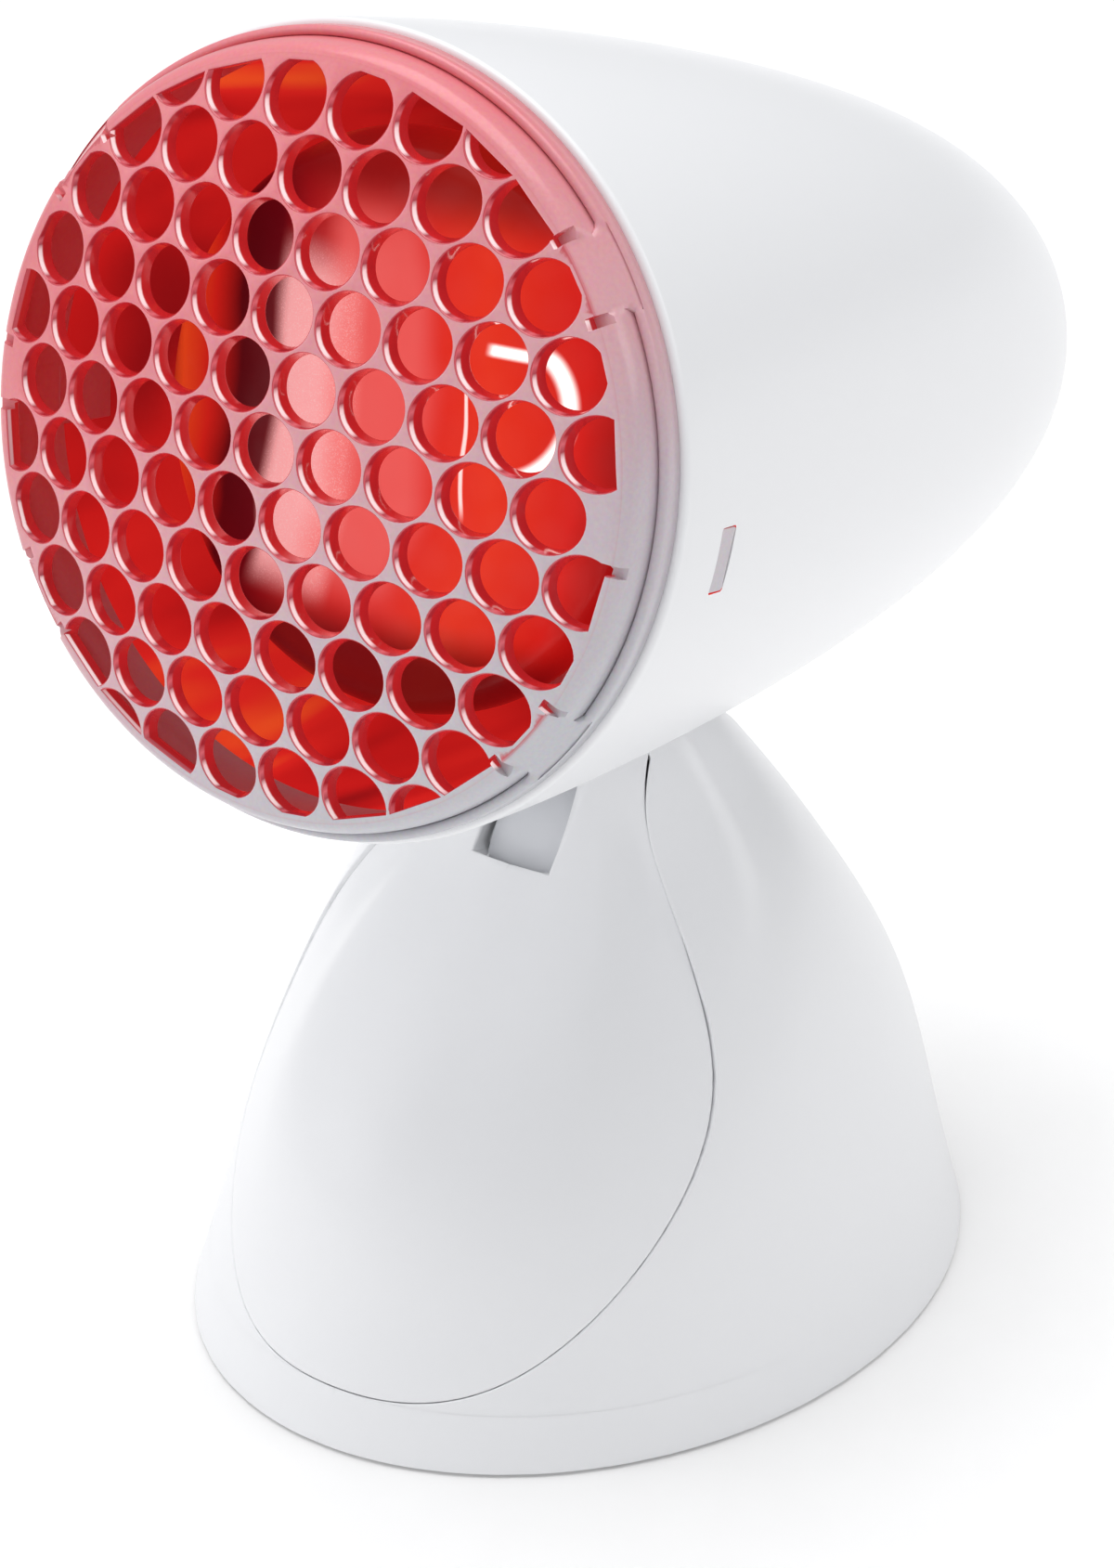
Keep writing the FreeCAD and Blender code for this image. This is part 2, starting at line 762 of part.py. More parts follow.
def make_tilt_fasteners():
    """The tilt bolt with its nut and washers, along X through the cheeks and the arm."""
    bolt_end = CHEEK_OUTER + dim.nut_washer_thickness + dim.nut_height + dim.bolt_tail
    shank = turned("bolt_shank", [
        (0, 0), (dim.bolt_radius, 0), (dim.bolt_radius, CHEEK_OUTER + bolt_end), (0, CHEEK_OUTER + bolt_end)])
    doc.recompute()
    head_points = [Vector(x, y, -dim.bolt_head_height) for x, y in hexagon(dim.bolt_head_flats)]
    head = prism(head_points, Vector(0, 0, dim.bolt_head_height))
    bolt = shank.Shape.fuse(head)
    solid("tilt_bolt", bolt, Placement(PIVOT + Vector(CHEEK_OUTER, 0, 0), Rotation(Vector(0, 1, 0), -90)))

    nut_start = CHEEK_OUTER + dim.nut_washer_thickness
    nut_points = [Vector(x, y, 0) for x, y in hexagon(dim.bolt_head_flats)]
    nut = prism(nut_points, Vector(0, 0, dim.nut_height))
    bore = rod(dim.bolt_radius + 0.02, Vector(0, 0, -1), Vector(0, 0, dim.nut_height + 1))
    away = Rotation(Vector(0, 1, 0), -90)
    solid("tilt_nut", nut.cut(bore), Placement(PIVOT - Vector(nut_start, 0, 0), away))

    washer = turned("nut_washer", [
        (dim.bolt_radius + 0.1, 0), (dim.nut_washer_radius, 0),
        (dim.nut_washer_radius, dim.nut_washer_thickness), (dim.bolt_radius + 0.1, dim.nut_washer_thickness),
    ], Placement(PIVOT - Vector(CHEEK_OUTER, 0, 0), away))
    keep(washer, "tilt_washer")

    fibre = turned("fibre_washer", [
        (dim.bolt_radius + 0.1, 0), (dim.friction_washer_radius, 0),
        (dim.friction_washer_radius, dim.friction_washer_thickness),
        (dim.bolt_radius + 0.1, dim.friction_washer_thickness),
    ])
    start = dim.arm_width / 2 + dim.running_clearance
    copies("friction_washers", fibre, [
        Placement(PIVOT + Vector(start, 0, 0), ACROSS),
        Placement(PIVOT - Vector(start, 0, 0), away),
    ])


def make_detent_spring(foot_top):
    """A leaf spring behind the knuckle, with a rounded nose that clicks into its notches."""
    half = dim.spring_width / 2
    y = SPRING_FOOT_REACH
    leaf = block((-half, y, foot_top), (half, y + dim.spring_thickness, PIVOT.z + 6.0))
    foot = block((-half, y, foot_top), (half, y + dim.spring_thickness + dim.spring_foot,
                                         foot_top + dim.spring_thickness))
    nose = rod(dim.detent_radius, Vector(-half, y, PIVOT.z), Vector(half, y, PIVOT.z))
    room = block((-half, PIVOT.y, PIVOT.z - 5), (half, y + 0.01, PIVOT.z + 5))
    reach = Vector(0, dim.detent_radius * 0.5, 0)
    nose.translate(reach)
    x, spot = SPRING_SCREW
    bore = rod(dim.screw_radius + dim.screw_clearance, Vector(x, spot, 0), Vector(x, spot, foot_top + 5))
    solid("detent_spring", leaf.fuse([foot, nose.common(room)]).cut(bore))


# Mains inlet and connection in the stand

def make_inlet():
    """The bush where the mains lead would enter, low at the back."""
    outside = inlet_axis_reach + dim.inlet_stand_out
    bush = turned("cord_bush", [
        (dim.inlet_bore_radius, 0),
        (dim.inlet_flange_radius, 0),
        (dim.inlet_flange_radius, dim.inlet_flange_thickness),
        (dim.inlet_sleeve_radius, dim.inlet_flange_thickness),
        (dim.inlet_sleeve_radius, dim.inlet_length),
        (dim.inlet_bore_radius, dim.inlet_length),
    ], Placement(Vector(0, outside - dim.inlet_length, dim.inlet_height), Rotation(Vector(1, 0, 0), -90)))
    keep(bush, "cord_bush")


def make_terminal_block():
    """A two-way terminal block on the base plate, with its clamping screws."""
    half_x, half_y = dim.block_length / 2, dim.block_depth / 2
    y = float(dim.block_reach)
    body = block((-half_x, y - half_y, PLATE_TOP), (half_x, y + half_y, PLATE_TOP + dim.block_height))
    wire_height = PLATE_TOP + dim.block_height * 0.45
    tools = []
    spots = []
    for x in (-half_x / 2 - 1.0, half_x / 2 + 1.0):
        tools.append(rod(2.0, Vector(x, y - FAR, wire_height), Vector(x, y + FAR, wire_height)))
        for step in (-half_y / 2, half_y / 2):
            spots.append((x, y + step))
            tools.append(rod(1.7, Vector(x, y + step, wire_height), Vector(x, y + step, FAR)))
    x, spot = BLOCK_SCREW
    tools.append(rod(dim.screw_radius + dim.screw_clearance, Vector(x, spot, 0), Vector(x, spot, FAR)))
    sunk = PLATE_TOP + dim.block_height - dim.screw_head_height
    sink_radius = dim.screw_head_radius + dim.screw_clearance
    tools.append(rod(sink_radius, Vector(x, spot, sunk), Vector(x, spot, FAR)))
    solid("terminal_block", body.cut(tools))
    reach = dim.block_height - dim.screw_head_height + PLATE_BITE
    screws_from_above("block_screw", reach, [BLOCK_SCREW], sunk)
    tall = dim.block_height * 0.4
    clamp = turned("clamping_screw", [(0, 0), (1.6, 0), (1.6, tall), (0, tall)])
    places = [Placement(Vector(x, y, wire_height + 0.4), Rotation()) for x, y in spots]
    copies("terminal_screws", clamp, places)


def make_cord_clamp():
    """The bar that grips the mains lead on two pillars behind the inlet."""
    half_x, half_y = dim.clamp_length / 2, dim.clamp_width / 2
    y = float(dim.clamp_reach)
    low = PLATE_TOP
    top = PLATE_TOP + dim.clamp_rise
    bar = block((-half_x, y - half_y, top), (half_x, y + half_y, top + dim.clamp_thickness))
    feet = [block((x - 3.2, y - half_y, low), (x + 3.2, y + half_y, top)) for x, _ in CLAMP_SCREWS]
    wide = dim.screw_radius + dim.screw_clearance
    bores = [rod(wide, Vector(x, y, 0), Vector(x, y, FAR)) for x, _ in CLAMP_SCREWS]
    solid("cord_clamp", bar.fuse(feet).removeSplitter().cut(bores))
    return top + dim.clamp_thickness


# Head housing

TAIL = -(dim.lip_setback + dim.housing_length)


def housing_points(inset):
    """Points along the housing's profile from lip to tail, taken in square to the surface."""
    points = []
    steps = 26
    for i in range(steps + 1):
        turn = math.pi / 2 * i / steps
        radius = dim.housing_radius * math.cos(turn) ** (2 / dim.housing_fullness) if i < steps else 0.0
        setback = dim.housing_length * math.sin(turn) ** (2 / dim.housing_taper)
        if i == 0:
            normal = Vector(1, 0, 0)
        elif i == steps:
            normal = Vector(0, 0, -1)
        else:
            across = dim.housing_fullness * (radius / dim.housing_radius) ** (dim.housing_fullness - 1)
            along = dim.housing_taper * (setback / dim.housing_length) ** (dim.housing_taper - 1)
            normal = Vector(across / dim.housing_radius, 0, -along / dim.housing_length).normalize()
        point = Vector(radius, 0, -dim.lip_setback - setback) - normal * inset
        points.append(Vector(max(0.0, point.x), 0, point.z))
    return points


def housing_solid(inset, mouth):
    """The housing's bullet as a full solid, its mouth drawn forward by an amount."""
    points = housing_points(inset)
    curve = smooth(points, ends=(Vector(0, 0, -1), Vector(-1, 0, 0)))
    lip, tail = points[0], points[-1]
    edge = Vector(lip.x, 0, lip.z + mouth)
    centre = Vector(0, 0, edge.z)
    edges = [curve, Part.makeLine(tail, centre), Part.makeLine(centre, edge)]
    if mouth:
        edges.append(Part.makeLine(edge, lip))
    return revolved(edges)


HOLDER_FLOOR_TOP = -(dim.bulb_setback + dim.bulb_length + dim.contact_gap + dim.contact_thickness)
STRAP_SEAT = HOLDER_FLOOR_TOP - dim.holder_floor
ARM_SCREWS = [
    (side * dim.flange_screw_x, -dim.head_reach + step * dim.flange_screw_z)
    for side in (-1, 1) for step in (-1, 1)]
STRAP_POSTS = mirrored(dim.strap_post_spacing / 2, 0.0)


def latch_box(side, grow, depth):
    """The block of a side latch, square to the wall at its angle, grown by a clearance."""
    half_length = dim.latch_width / 2 + grow
    half_height = dim.latch_height / 2 + grow
    low, high = depth
    latch = block((low, -half_length, -dim.latch_setback - half_height),
                  (high, half_length, -dim.latch_setback + half_height))
    angle = -dim.latch_angle if side > 0 else 180.0 + dim.latch_angle
    latch.rotate(Vector(0, 0, 0), Vector(0, 0, 1), angle)
    return latch


def make_housing():
    """The head's one-piece housing with its posts, the slots for the guard's latches and the tail vents."""
    outer = housing_solid(0.0, 0.0)
    inner = housing_solid(float(dim.housing_wall), 5.0)
    shell = outer.cut(inner)
    posts = []
    bores = []
    for x, z in ARM_SCREWS:
        foot = Vector(x, -FLANGE_DROP, z)
        posts.append(rod(dim.post_radius, foot, foot - Vector(0, FAR / 2, 0)).common(outer))
        depth = dim.arm_screw_reach - dim.flange_thickness + dim.bore_spare
        bores.append(rod(dim.screw_radius, foot + Vector(0, 1, 0), foot - Vector(0, depth, 0)))
    back = STRAP_SEAT - dim.strap_thickness
    for x, y in STRAP_POSTS:
        foot = Vector(x, y, back)
        posts.append(rod(dim.strap_post_radius, foot, foot - Vector(0, 0, FAR)).common(outer))
        tip = foot - Vector(0, 0, dim.strap_screw_reach)
        bores.append(rod(dim.screw_radius, foot + Vector(0, 0, 1), tip))
    shell = shell.fuse(posts)
    half = dim.arm_width / 2 + dim.mouth_clearance
    deep = dim.arm_depth / 2 + dim.mouth_clearance
    mouth = block((-half, -FAR, -dim.head_reach - deep), (half, -FLANGE_DROP + 1, -dim.head_reach + deep))
    through_wall = (dim.housing_radius - 5 * dim.housing_wall, dim.housing_radius + dim.housing_wall)
    slots = [latch_box(side, dim.latch_clearance, through_wall) for side in (-1, 1)]
    vents = []
    for i in range(-2, 3):
        y = i * dim.vent_pitch - dim.vent_drop
        half = dim.vent_width / 2
        reach = math.sqrt(dim.vent_field_radius ** 2 - (i * dim.vent_pitch) ** 2) - dim.vent_inset
        vents.append(block((-reach, y - half, TAIL - 10), (reach, y + half, TAIL + 40)))
    solid("head_housing", shell.cut(bores + [mouth] + slots + vents), HEAD)


# Tilting arm

def make_arm():
    """The arm under the head: a round knuckle on the tilt bolt, a neck, and a flange inside the housing."""
    half = dim.arm_width / 2
    side = Vector(half, 0, 0)
    knuckle = rod(dim.knuckle_radius, HEAD_PIVOT - side, HEAD_PIVOT + side)
    deep = dim.arm_depth / 2
    low, high = -dim.head_reach - deep, -dim.head_reach + deep
    neck = block((-half, -dim.head_rise, low), (half, -FLANGE_DROP, high))
    wide = dim.flange_screw_x + dim.flange_margin
    long = dim.flange_screw_z + dim.flange_margin
    flange = block((-wide, -FLANGE_DROP, -dim.head_reach - long),
                   (wide, -FLANGE_DROP + dim.flange_thickness, -dim.head_reach + long))
    arm = knuckle.fuse([neck, flange]).removeSplitter()
    bores = [rod(dim.bolt_radius + dim.running_clearance, HEAD_PIVOT - side * 2, HEAD_PIVOT + side * 2)]
    for x, z in ARM_SCREWS:
        foot = Vector(x, -FLANGE_DROP - 1, z)
        bores.append(rod(dim.screw_radius + dim.screw_clearance, foot, foot + Vector(0, FAR, 0)))
    for i in range(DETENTS):
        turn = math.radians(90.0 - dim.head_tilt + dim.tilt_down - i * dim.detent_step)
        spot = HEAD_PIVOT + Vector(0, math.cos(turn), -math.sin(turn)) * float(dim.knuckle_radius + 0.6)
        bores.append(rod(dim.detent_radius, spot - side * 2, spot + side * 2))
    channel = Vector(0, -FAR, -dim.head_reach - dim.lead_channel_setback)
    bores.append(rod(dim.lead_channel_radius, channel, channel + Vector(0, FAR * 2, 0)))
    solid("tilt_arm", arm.cut(bores), HEAD)


def make_arm_screws():
    """Four screws through the arm's flange into the housing."""
    down = Rotation(Vector(1, 0, 0), 90)
    seat = -FLANGE_DROP + dim.flange_thickness + dim.screw_head_height
    pattern = screw("arm_screws", dim.arm_screw_reach)
    copies("arm_screws", pattern, [in_head(x, seat, z, down) for x, z in ARM_SCREWS])


# Guard

GUARD_FLANGE = dim.housing_radius - dim.guard_lip_step
GUARD_FACE = GUARD_FLANGE - dim.guard_edge_width
HOLE_FIELD = GUARD_FACE - dim.hole_field_margin
SPIGOT_FOOT = -dim.lip_setback + 0.1 - dim.guard_spigot_depth


def guard_height(radius):
    """The guard's front surface at a radius."""
    return -dim.guard_fall * radius * radius


def lattice():
    """Centres of the honeycomb of holes, row by row."""
    rise = dim.hole_pitch * math.sqrt(3) / 2
    for row in range(-5, 6):
        count = LATTICE_ROWS[abs(row)]
        for i in range(count):
            yield (i - (count - 1) / 2) * dim.hole_pitch, row * rise


def guard_body():
    """The guard without its holes: a shallow dome, a rolled edge, a flange and a spigot in the mouth."""
    face = float(GUARD_FACE)
    flange = float(GUARD_FLANGE)
    seat = SPIGOT_FOOT + dim.guard_spigot_depth
    spigot = dim.housing_radius - dim.housing_wall - dim.guard_clearance
    inner = spigot - dim.guard_spigot_wall
    thick = float(dim.guard_thickness)
    bead = seat + dim.guard_flange_height
    front = [Vector(r, 0, guard_height(r)) for r in (0.0, face * 0.35, face * 0.7, face)]
    fall = [
        front[-1],
        Vector(face + 1.5, 0, guard_height(face) - 1.9),
        Vector(flange - 1.7, 0, bead - 0.4),
    ]
    back = [Vector(r, 0, guard_height(r) - thick) for r in (inner - 1.0, face * 0.6, face * 0.3, 0.0)]
    crest = Vector(flange - 0.8, 0, bead + 0.5)
    edge = Vector(flange, 0, bead - 0.4)
    corners = [
        Vector(flange, 0, seat),
        Vector(spigot, 0, seat),
        Vector(spigot, 0, SPIGOT_FOOT),
        Vector(inner, 0, SPIGOT_FOOT),
        Vector(inner, 0, guard_height(inner) - thick - 1.0),
    ]
    edges = [
        smooth(front),
        Part.Arc(*fall).toShape(),
        Part.Arc(fall[-1], crest, edge).toShape(),
        Part.makeLine(edge, corners[0]),
    ]
    edges += [Part.makeLine(a, b) for a, b in zip(corners, corners[1:])]
    edges.append(Part.makeLine(corners[-1], back[0]))
    edges.append(smooth(back))
    edges.append(Part.makeLine(back[-1], front[0]))
    return revolved(edges)


def guard_hole(x, y):
    """One tapered hole, cut straight where it would leave the field."""
    reach = math.hypot(x, y)
    spare = 3.0
    top = guard_height(reach) + spare
    bottom = guard_height(reach) - dim.guard_thickness - spare
    spread = spare * (dim.hole_front_radius - dim.hole_throat_radius) / dim.guard_thickness
    throat, front = dim.hole_throat_radius - spread, dim.hole_front_radius + spread
    hole = Part.makeCone(throat, front, top - bottom, Vector(x, y, bottom))
    if reach + dim.hole_front_radius > HOLE_FIELD:
        keep_in = block((-FAR, -FAR, bottom - 1), (HOLE_FIELD, FAR, top + 1))
        keep_in.rotate(Vector(0, 0, 0), Vector(0, 0, 1), math.degrees(math.atan2(y, x)))
        hole = hole.common(keep_in)
    return hole


def make_guard():
    """The clear moulded guard: its honeycomb, the slits of its snap tongues and the two side latches."""
    low = -dim.latch_setback - dim.latch_height / 2 - 1.2
    narrowest = housing_outline_radius(-low - dim.lip_setback) - dim.housing_wall - dim.guard_clearance
    leg_inner = narrowest - dim.latch_leg_wall
    nose_out = housing_outline_radius(dim.latch_setback - dim.lip_setback) - 0.5
    legs = []
    for side in (-1, 1):
        ring = rod(narrowest, Vector(0, 0, low), Vector(0, 0, SPIGOT_FOOT + 1))
        ring = ring.cut(rod(leg_inner, Vector(0, 0, low - 1), Vector(0, 0, SPIGOT_FOOT + 2)))
        angle = -dim.latch_angle if side > 0 else 180.0 + dim.latch_angle
        half = dim.latch_width / 2
        strip = block((leg_inner / 2, -half, low - 1), (FAR, half, SPIGOT_FOOT + 1))
        strip.rotate(Vector(0, 0, 0), Vector(0, 0, 1), angle)
        legs.append(ring.common(strip))
        legs.append(latch_box(side, 0.0, (leg_inner + 0.2, nose_out)))
    guard = guard_body().fuse(legs)
    tools = [guard_hole(x, y) for x, y in lattice()]
    for angle in SLIT_ANGLES + (-float(dim.latch_angle), 180.0 + dim.latch_angle):
        half = dim.slit_width / 2
        start = GUARD_FLANGE - dim.slit_length
        top = guard_height(start) + 2.0
        slit = block((start, -half, top - dim.slit_depth), (GUARD_FLANGE + 2, half, top))
        slit.rotate(Vector(0, 0, 0), Vector(0, 0, 1), angle)
        tools.append(slit)
    solid("guard", guard.cut(tools), HEAD)


# Bulb

BULB_FACE = -float(dim.bulb_setback)
CAP_TOP = -(dim.bulb_setback + dim.bulb_length)
CAP_SHELL_LENGTH = dim.thread_pitch * (THREAD_TURNS + 0.6)
CAP_RIM = CAP_TOP + dim.cap_contact_height + dim.cap_insulator_height + CAP_SHELL_LENGTH
PRESS_FLOOR = 1.5


def bulb_outline(inset):
    """The bulb's envelope taken in by an amount: face, rounded rim, mirrored cup and neck."""
    rim = dim.bulb_radius - inset
    face = dim.bulb_face_radius - inset * 0.6
    neck = dim.bulb_neck_radius - inset
    top = Vector(0, 0, BULB_FACE - inset)
    shoulder = Vector(face, 0, BULB_FACE - dim.bulb_face_fall - inset * 0.8)
    widest = Vector(rim, 0, BULB_FACE - dim.bulb_rim_fall)
    crown = Vector(face * 0.52, 0, top.z + (shoulder.z - top.z) * 0.26)
    bend = Vector((face + rim) / 2 + 0.9, 0, (shoulder.z + widest.z) / 2 + 1.0)
    cup = [
        widest,
        Vector(dim.bulb_cup_radius - inset, 0, BULB_FACE - dim.bulb_cup_fall),
        Vector(neck, 0, BULB_FACE - dim.bulb_neck_fall),
    ]
    end = Vector(neck, 0, CAP_RIM - 3.0)
    centre = Vector(0, 0, end.z)
    return [
        Part.Arc(top, crown, shoulder).toShape(),
        Part.Arc(shoulder, bend, widest).toShape(),
        smooth(cup, ends=(Vector(0, 0, -1), Vector(0, 0, -1))),
        Part.makeLine(cup[-1], end),
        Part.makeLine(end, centre),
        Part.makeLine(centre, top),
    ]


def make_bulb_glass():
    """The red glass envelope, hollow, closed by a press that reaches down into the cap."""
    outer = revolved(bulb_outline(0.0))
    inner = revolved(bulb_outline(float(dim.bulb_glass_wall)))
    below_cap = rod(FAR, Vector(0, 0, CAP_RIM - FAR), Vector(0, 0, CAP_RIM))
    envelope = outer.cut(inner).cut(below_cap)
    floor = rod(dim.bulb_neck_radius, Vector(0, 0, CAP_RIM), Vector(0, 0, CAP_RIM + PRESS_FLOOR))
    press_radius = dim.thread_root_radius - dim.cap_wall - 0.2
    press = rod(press_radius, Vector(0, 0, CAP_RIM - 9.0), Vector(0, 0, CAP_RIM + 0.5))
    solid("bulb_glass", envelope.fuse([floor, press]), HEAD)


def thread_outline(start, outer, root, turns):
    """The rounded ridges of a rolled thread, as corners from bottom to top."""
    corners = []
    for i in range(turns):
        low = start + dim.thread_pitch * i
        corners.append((root, low))
        corners.append((outer, low + dim.thread_pitch * 0.35))
        corners.append((outer, low + dim.thread_pitch * 0.65))
    corners.append((root, start + dim.thread_pitch * turns))
    return corners


def make_bulb_cap():
    """The screw cap: a threaded shell, a glass insulator and the centre contact, all drawn tip down."""
    base = dim.cap_contact_height + dim.cap_insulator_height
    outer, root = dim.thread_outer_radius, dim.thread_root_radius
    outside = thread_outline(base, outer, root, THREAD_TURNS)
    top = base + CAP_SHELL_LENGTH
    inside = root - dim.cap_wall
    corners = outside + [(outer, top), (inside, top), (inside, base)]
    keep(turned("bulb_cap", corners, in_head(0, 0, CAP_TOP)), "bulb_cap")
    contact, rise = dim.cap_contact_radius, dim.cap_contact_height
    keep(turned("cap_insulator", [
        (0, rise), (contact + 0.5, rise), (inside, base), (inside, base + 1.5), (0, base + 1.5),
    ], in_head(0, 0, CAP_TOP)), "cap_insulator")
    keep(turned("cap_contact", [
        (0, 0), (contact * 0.5, 0), (contact, rise * 0.6), (contact, rise), (0, rise),
    ], in_head(0, 0, CAP_TOP)), "cap_contact")


def make_filament():
    """The glass stem in the neck, and the filament hung between its two wires."""
    fall = BULB_FACE - dim.filament_fall
    foot = CAP_RIM + PRESS_FLOOR
    stem = rod(dim.stem_radius, Vector(0, 0, foot), Vector(0, 0, foot + 26))
    tip = Part.makeSphere(dim.stem_radius, Vector(0, 0, foot + 26))
    solid("bulb_stem", stem.fuse(tip), HEAD)
    spread = float(dim.filament_radius)
    wire = float(dim.filament_wire)
    start = foot + 28
    posts = []
    for side in (-1, 1):
        root = Vector(side * dim.stem_radius * 0.5, 0, start + 1.5)
        posts.append(rod(wire / 2, root, Vector(side * spread, 0, fall)))
        posts.append(Part.makeSphere(wire / 2, Vector(side * spread, 0, fall)))
    hoop = Part.makeTorus(spread, wire, Vector(0, 0, fall), Vector(0, 0, 1), 0, 360, 300)
    hoop.rotate(Vector(0, 0, fall), Vector(0, 0, 1), -120)
    solid("filament", hoop.fuse(posts).cut([stem, tip]), HEAD)


# Lampholder

def make_lampholder():
    """The ceramic holder with its threaded sleeve and centre contact, and the strap that carries it."""
    gap = float(dim.thread_clearance)
    sleeve_outer = dim.thread_outer_radius + gap + dim.cap_wall
    base = dim.cap_contact_height + dim.cap_insulator_height
    cavity = sleeve_outer + dim.holder_wall_gap
    floor = -(dim.contact_gap + dim.contact_thickness)
    length = base + CAP_SHELL_LENGTH
    bottom = dim.holder_floor
    corners = [
        (0, 0), (dim.holder_radius - 2.0, 0), (dim.holder_radius, bottom * 0.3),
        (dim.holder_radius, bottom + length - 6.0), (dim.holder_radius - 2.0, bottom + length - 2.0),
        (cavity, bottom + length - 2.0), (cavity, bottom), (0, bottom),
    ]
    holder = turned("holder_body", corners)
    doc.recompute()
    bores = []
    for y in (-dim.holder_screw_spacing / 2, dim.holder_screw_spacing / 2):
        bores.append(rod(dim.screw_radius, Vector(0, y, -1), Vector(0, y, bottom - 2.0)))
    for x in (-9.0, 9.0):
        bores.append(rod(1.8, Vector(x, 0, -1), Vector(x, 0, bottom + 1)))
    solid("lampholder", holder.Shape.cut(bores), in_head(0, 0, STRAP_SEAT))

    thread = thread_outline(base, dim.thread_outer_radius + gap, dim.thread_root_radius + gap, THREAD_TURNS - 1)
    top = thread[-1][1]
    sleeve = thread + [(sleeve_outer, top), (sleeve_outer, base)]
    keep(turned("holder_sleeve", sleeve, in_head(0, 0, CAP_TOP)), "holder_sleeve")

    half = 3.0
    leaf = block((-half - 4, -half, floor), (half + 4, half, floor + dim.contact_thickness))
    solid("holder_contact", leaf, in_head(0, 0, CAP_TOP))

    span = dim.strap_post_spacing / 2 + 6.0
    wide = dim.strap_width / 2
    tall = dim.holder_screw_spacing / 2 + 5.0
    bar = [(span * -1, wide * -1), (span, wide * -1), (span, wide), (span * -1, wide)]
    strap = plate_body("strap_bar", bar, dim.strap_thickness)
    doc.recompute()
    ears = block((-wide, -tall, 0), (wide, tall, dim.strap_thickness))
    half_spacing = dim.holder_screw_spacing / 2
    holes = []
    for x, y in STRAP_POSTS + [(0.0, -half_spacing), (0.0, half_spacing)]:
        holes.append(rod(dim.screw_radius + dim.screw_clearance, Vector(x, y, -1), Vector(x, y, 5)))
    for x in (-9.0, 9.0):
        holes.append(rod(2.2, Vector(x, 0, -1), Vector(x, 0, 5)))
    strap_shape = strap.Shape.fuse(ears).removeSplitter().cut(holes)
    solid("holder_strap", strap_shape, in_head(0, 0, STRAP_SEAT - dim.strap_thickness))


def make_holder_screws():
    """Screws from the strap into the posts, and from behind the strap into the holder."""
    seat = STRAP_SEAT + dim.screw_head_height
    back = Rotation(Vector(1, 0, 0), 180)
    front = screw("strap_screws", dim.strap_screw_reach)
    copies("strap_screws", front, [in_head(x, y, seat, back) for x, y in STRAP_POSTS])
    behind = STRAP_SEAT - dim.strap_thickness - dim.screw_head_height
    spots = [(0.0, -dim.holder_screw_spacing / 2), (0.0, dim.holder_screw_spacing / 2)]
    rear = screw("holder_screws", dim.strap_screw_reach)
    copies("holder_screws", rear, [in_head(x, y, behind) for x, y in spots])


def make_all():
    """Make every piece of the lamp."""
    make_shells()
    make_base()
    screws_from_below("shell_screws", dim.shell_screw_reach, PANEL_POSTS + SHELL_POSTS)
    foot_top = make_pivot_bracket()
    screws_from_below("bracket_screws", dim.bracket_screw_reach, BRACKET_SCREWS)
    make_tilt_fasteners()
    make_detent_spring(foot_top)
    spring_screw_reach = dim.spring_thickness + dim.cheek_thickness + PLATE_BITE
    screws_from_above("spring_screw", spring_screw_reach, [SPRING_SCREW], foot_top + dim.spring_thickness)
    make_inlet()
    make_terminal_block()
    clamp_top = make_cord_clamp()
    clamp_screw_reach = dim.clamp_rise + dim.clamp_thickness + PLATE_BITE
    screws_from_above("clamp_screws", clamp_screw_reach, CLAMP_SCREWS, clamp_top)
    make_housing()
    make_arm()
    make_arm_screws()
    make_guard()
    make_bulb_glass()
    make_bulb_cap()
    make_filament()
    make_lampholder()
    make_holder_screws()


def check_all():
    """Stop if any object failed or any piece is empty or broken."""
    doc.recompute()
    for thing in doc.Objects:
        if "Invalid" in thing.State or "Error" in thing.State:
            raise RuntimeError(f"{thing.Label} failed: {thing.State}")
    for label, piece in nodes.items():
        if piece.Shape.isNull() or not piece.Shape.isValid() or not piece.Shape.Solids:
            raise RuntimeError(f"{label} has no valid solid")


def export_all():
    """Write one STEP file for each piece."""
    os.makedirs("parts", exist_ok=True)
    for label, piece in nodes.items():
        piece.Shape.exportStep(f"parts/{label}.step")
        print(f"{label}: {len(piece.Shape.Solids)} solid(s), {piece.Shape.Volume / 1000:.2f} cm3")


make_all()
check_all()
export_all()
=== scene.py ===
"""Infrared heat therapy lamp, dressed around its packed construction.

Lengths are millimetres until a mesh is made. The stand is drawn in the lamp's own frame: X to the right,
-Y the way the lamp shines, Z up. The head is drawn in its own frame and then placed: X to the right, Y up in
the plane of the guard, Z forward along the lamp's axis, with its origin at the crown of the guard.
"""
import json
import math

import bmesh
import bpy
import numpy as np
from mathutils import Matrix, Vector, geometry


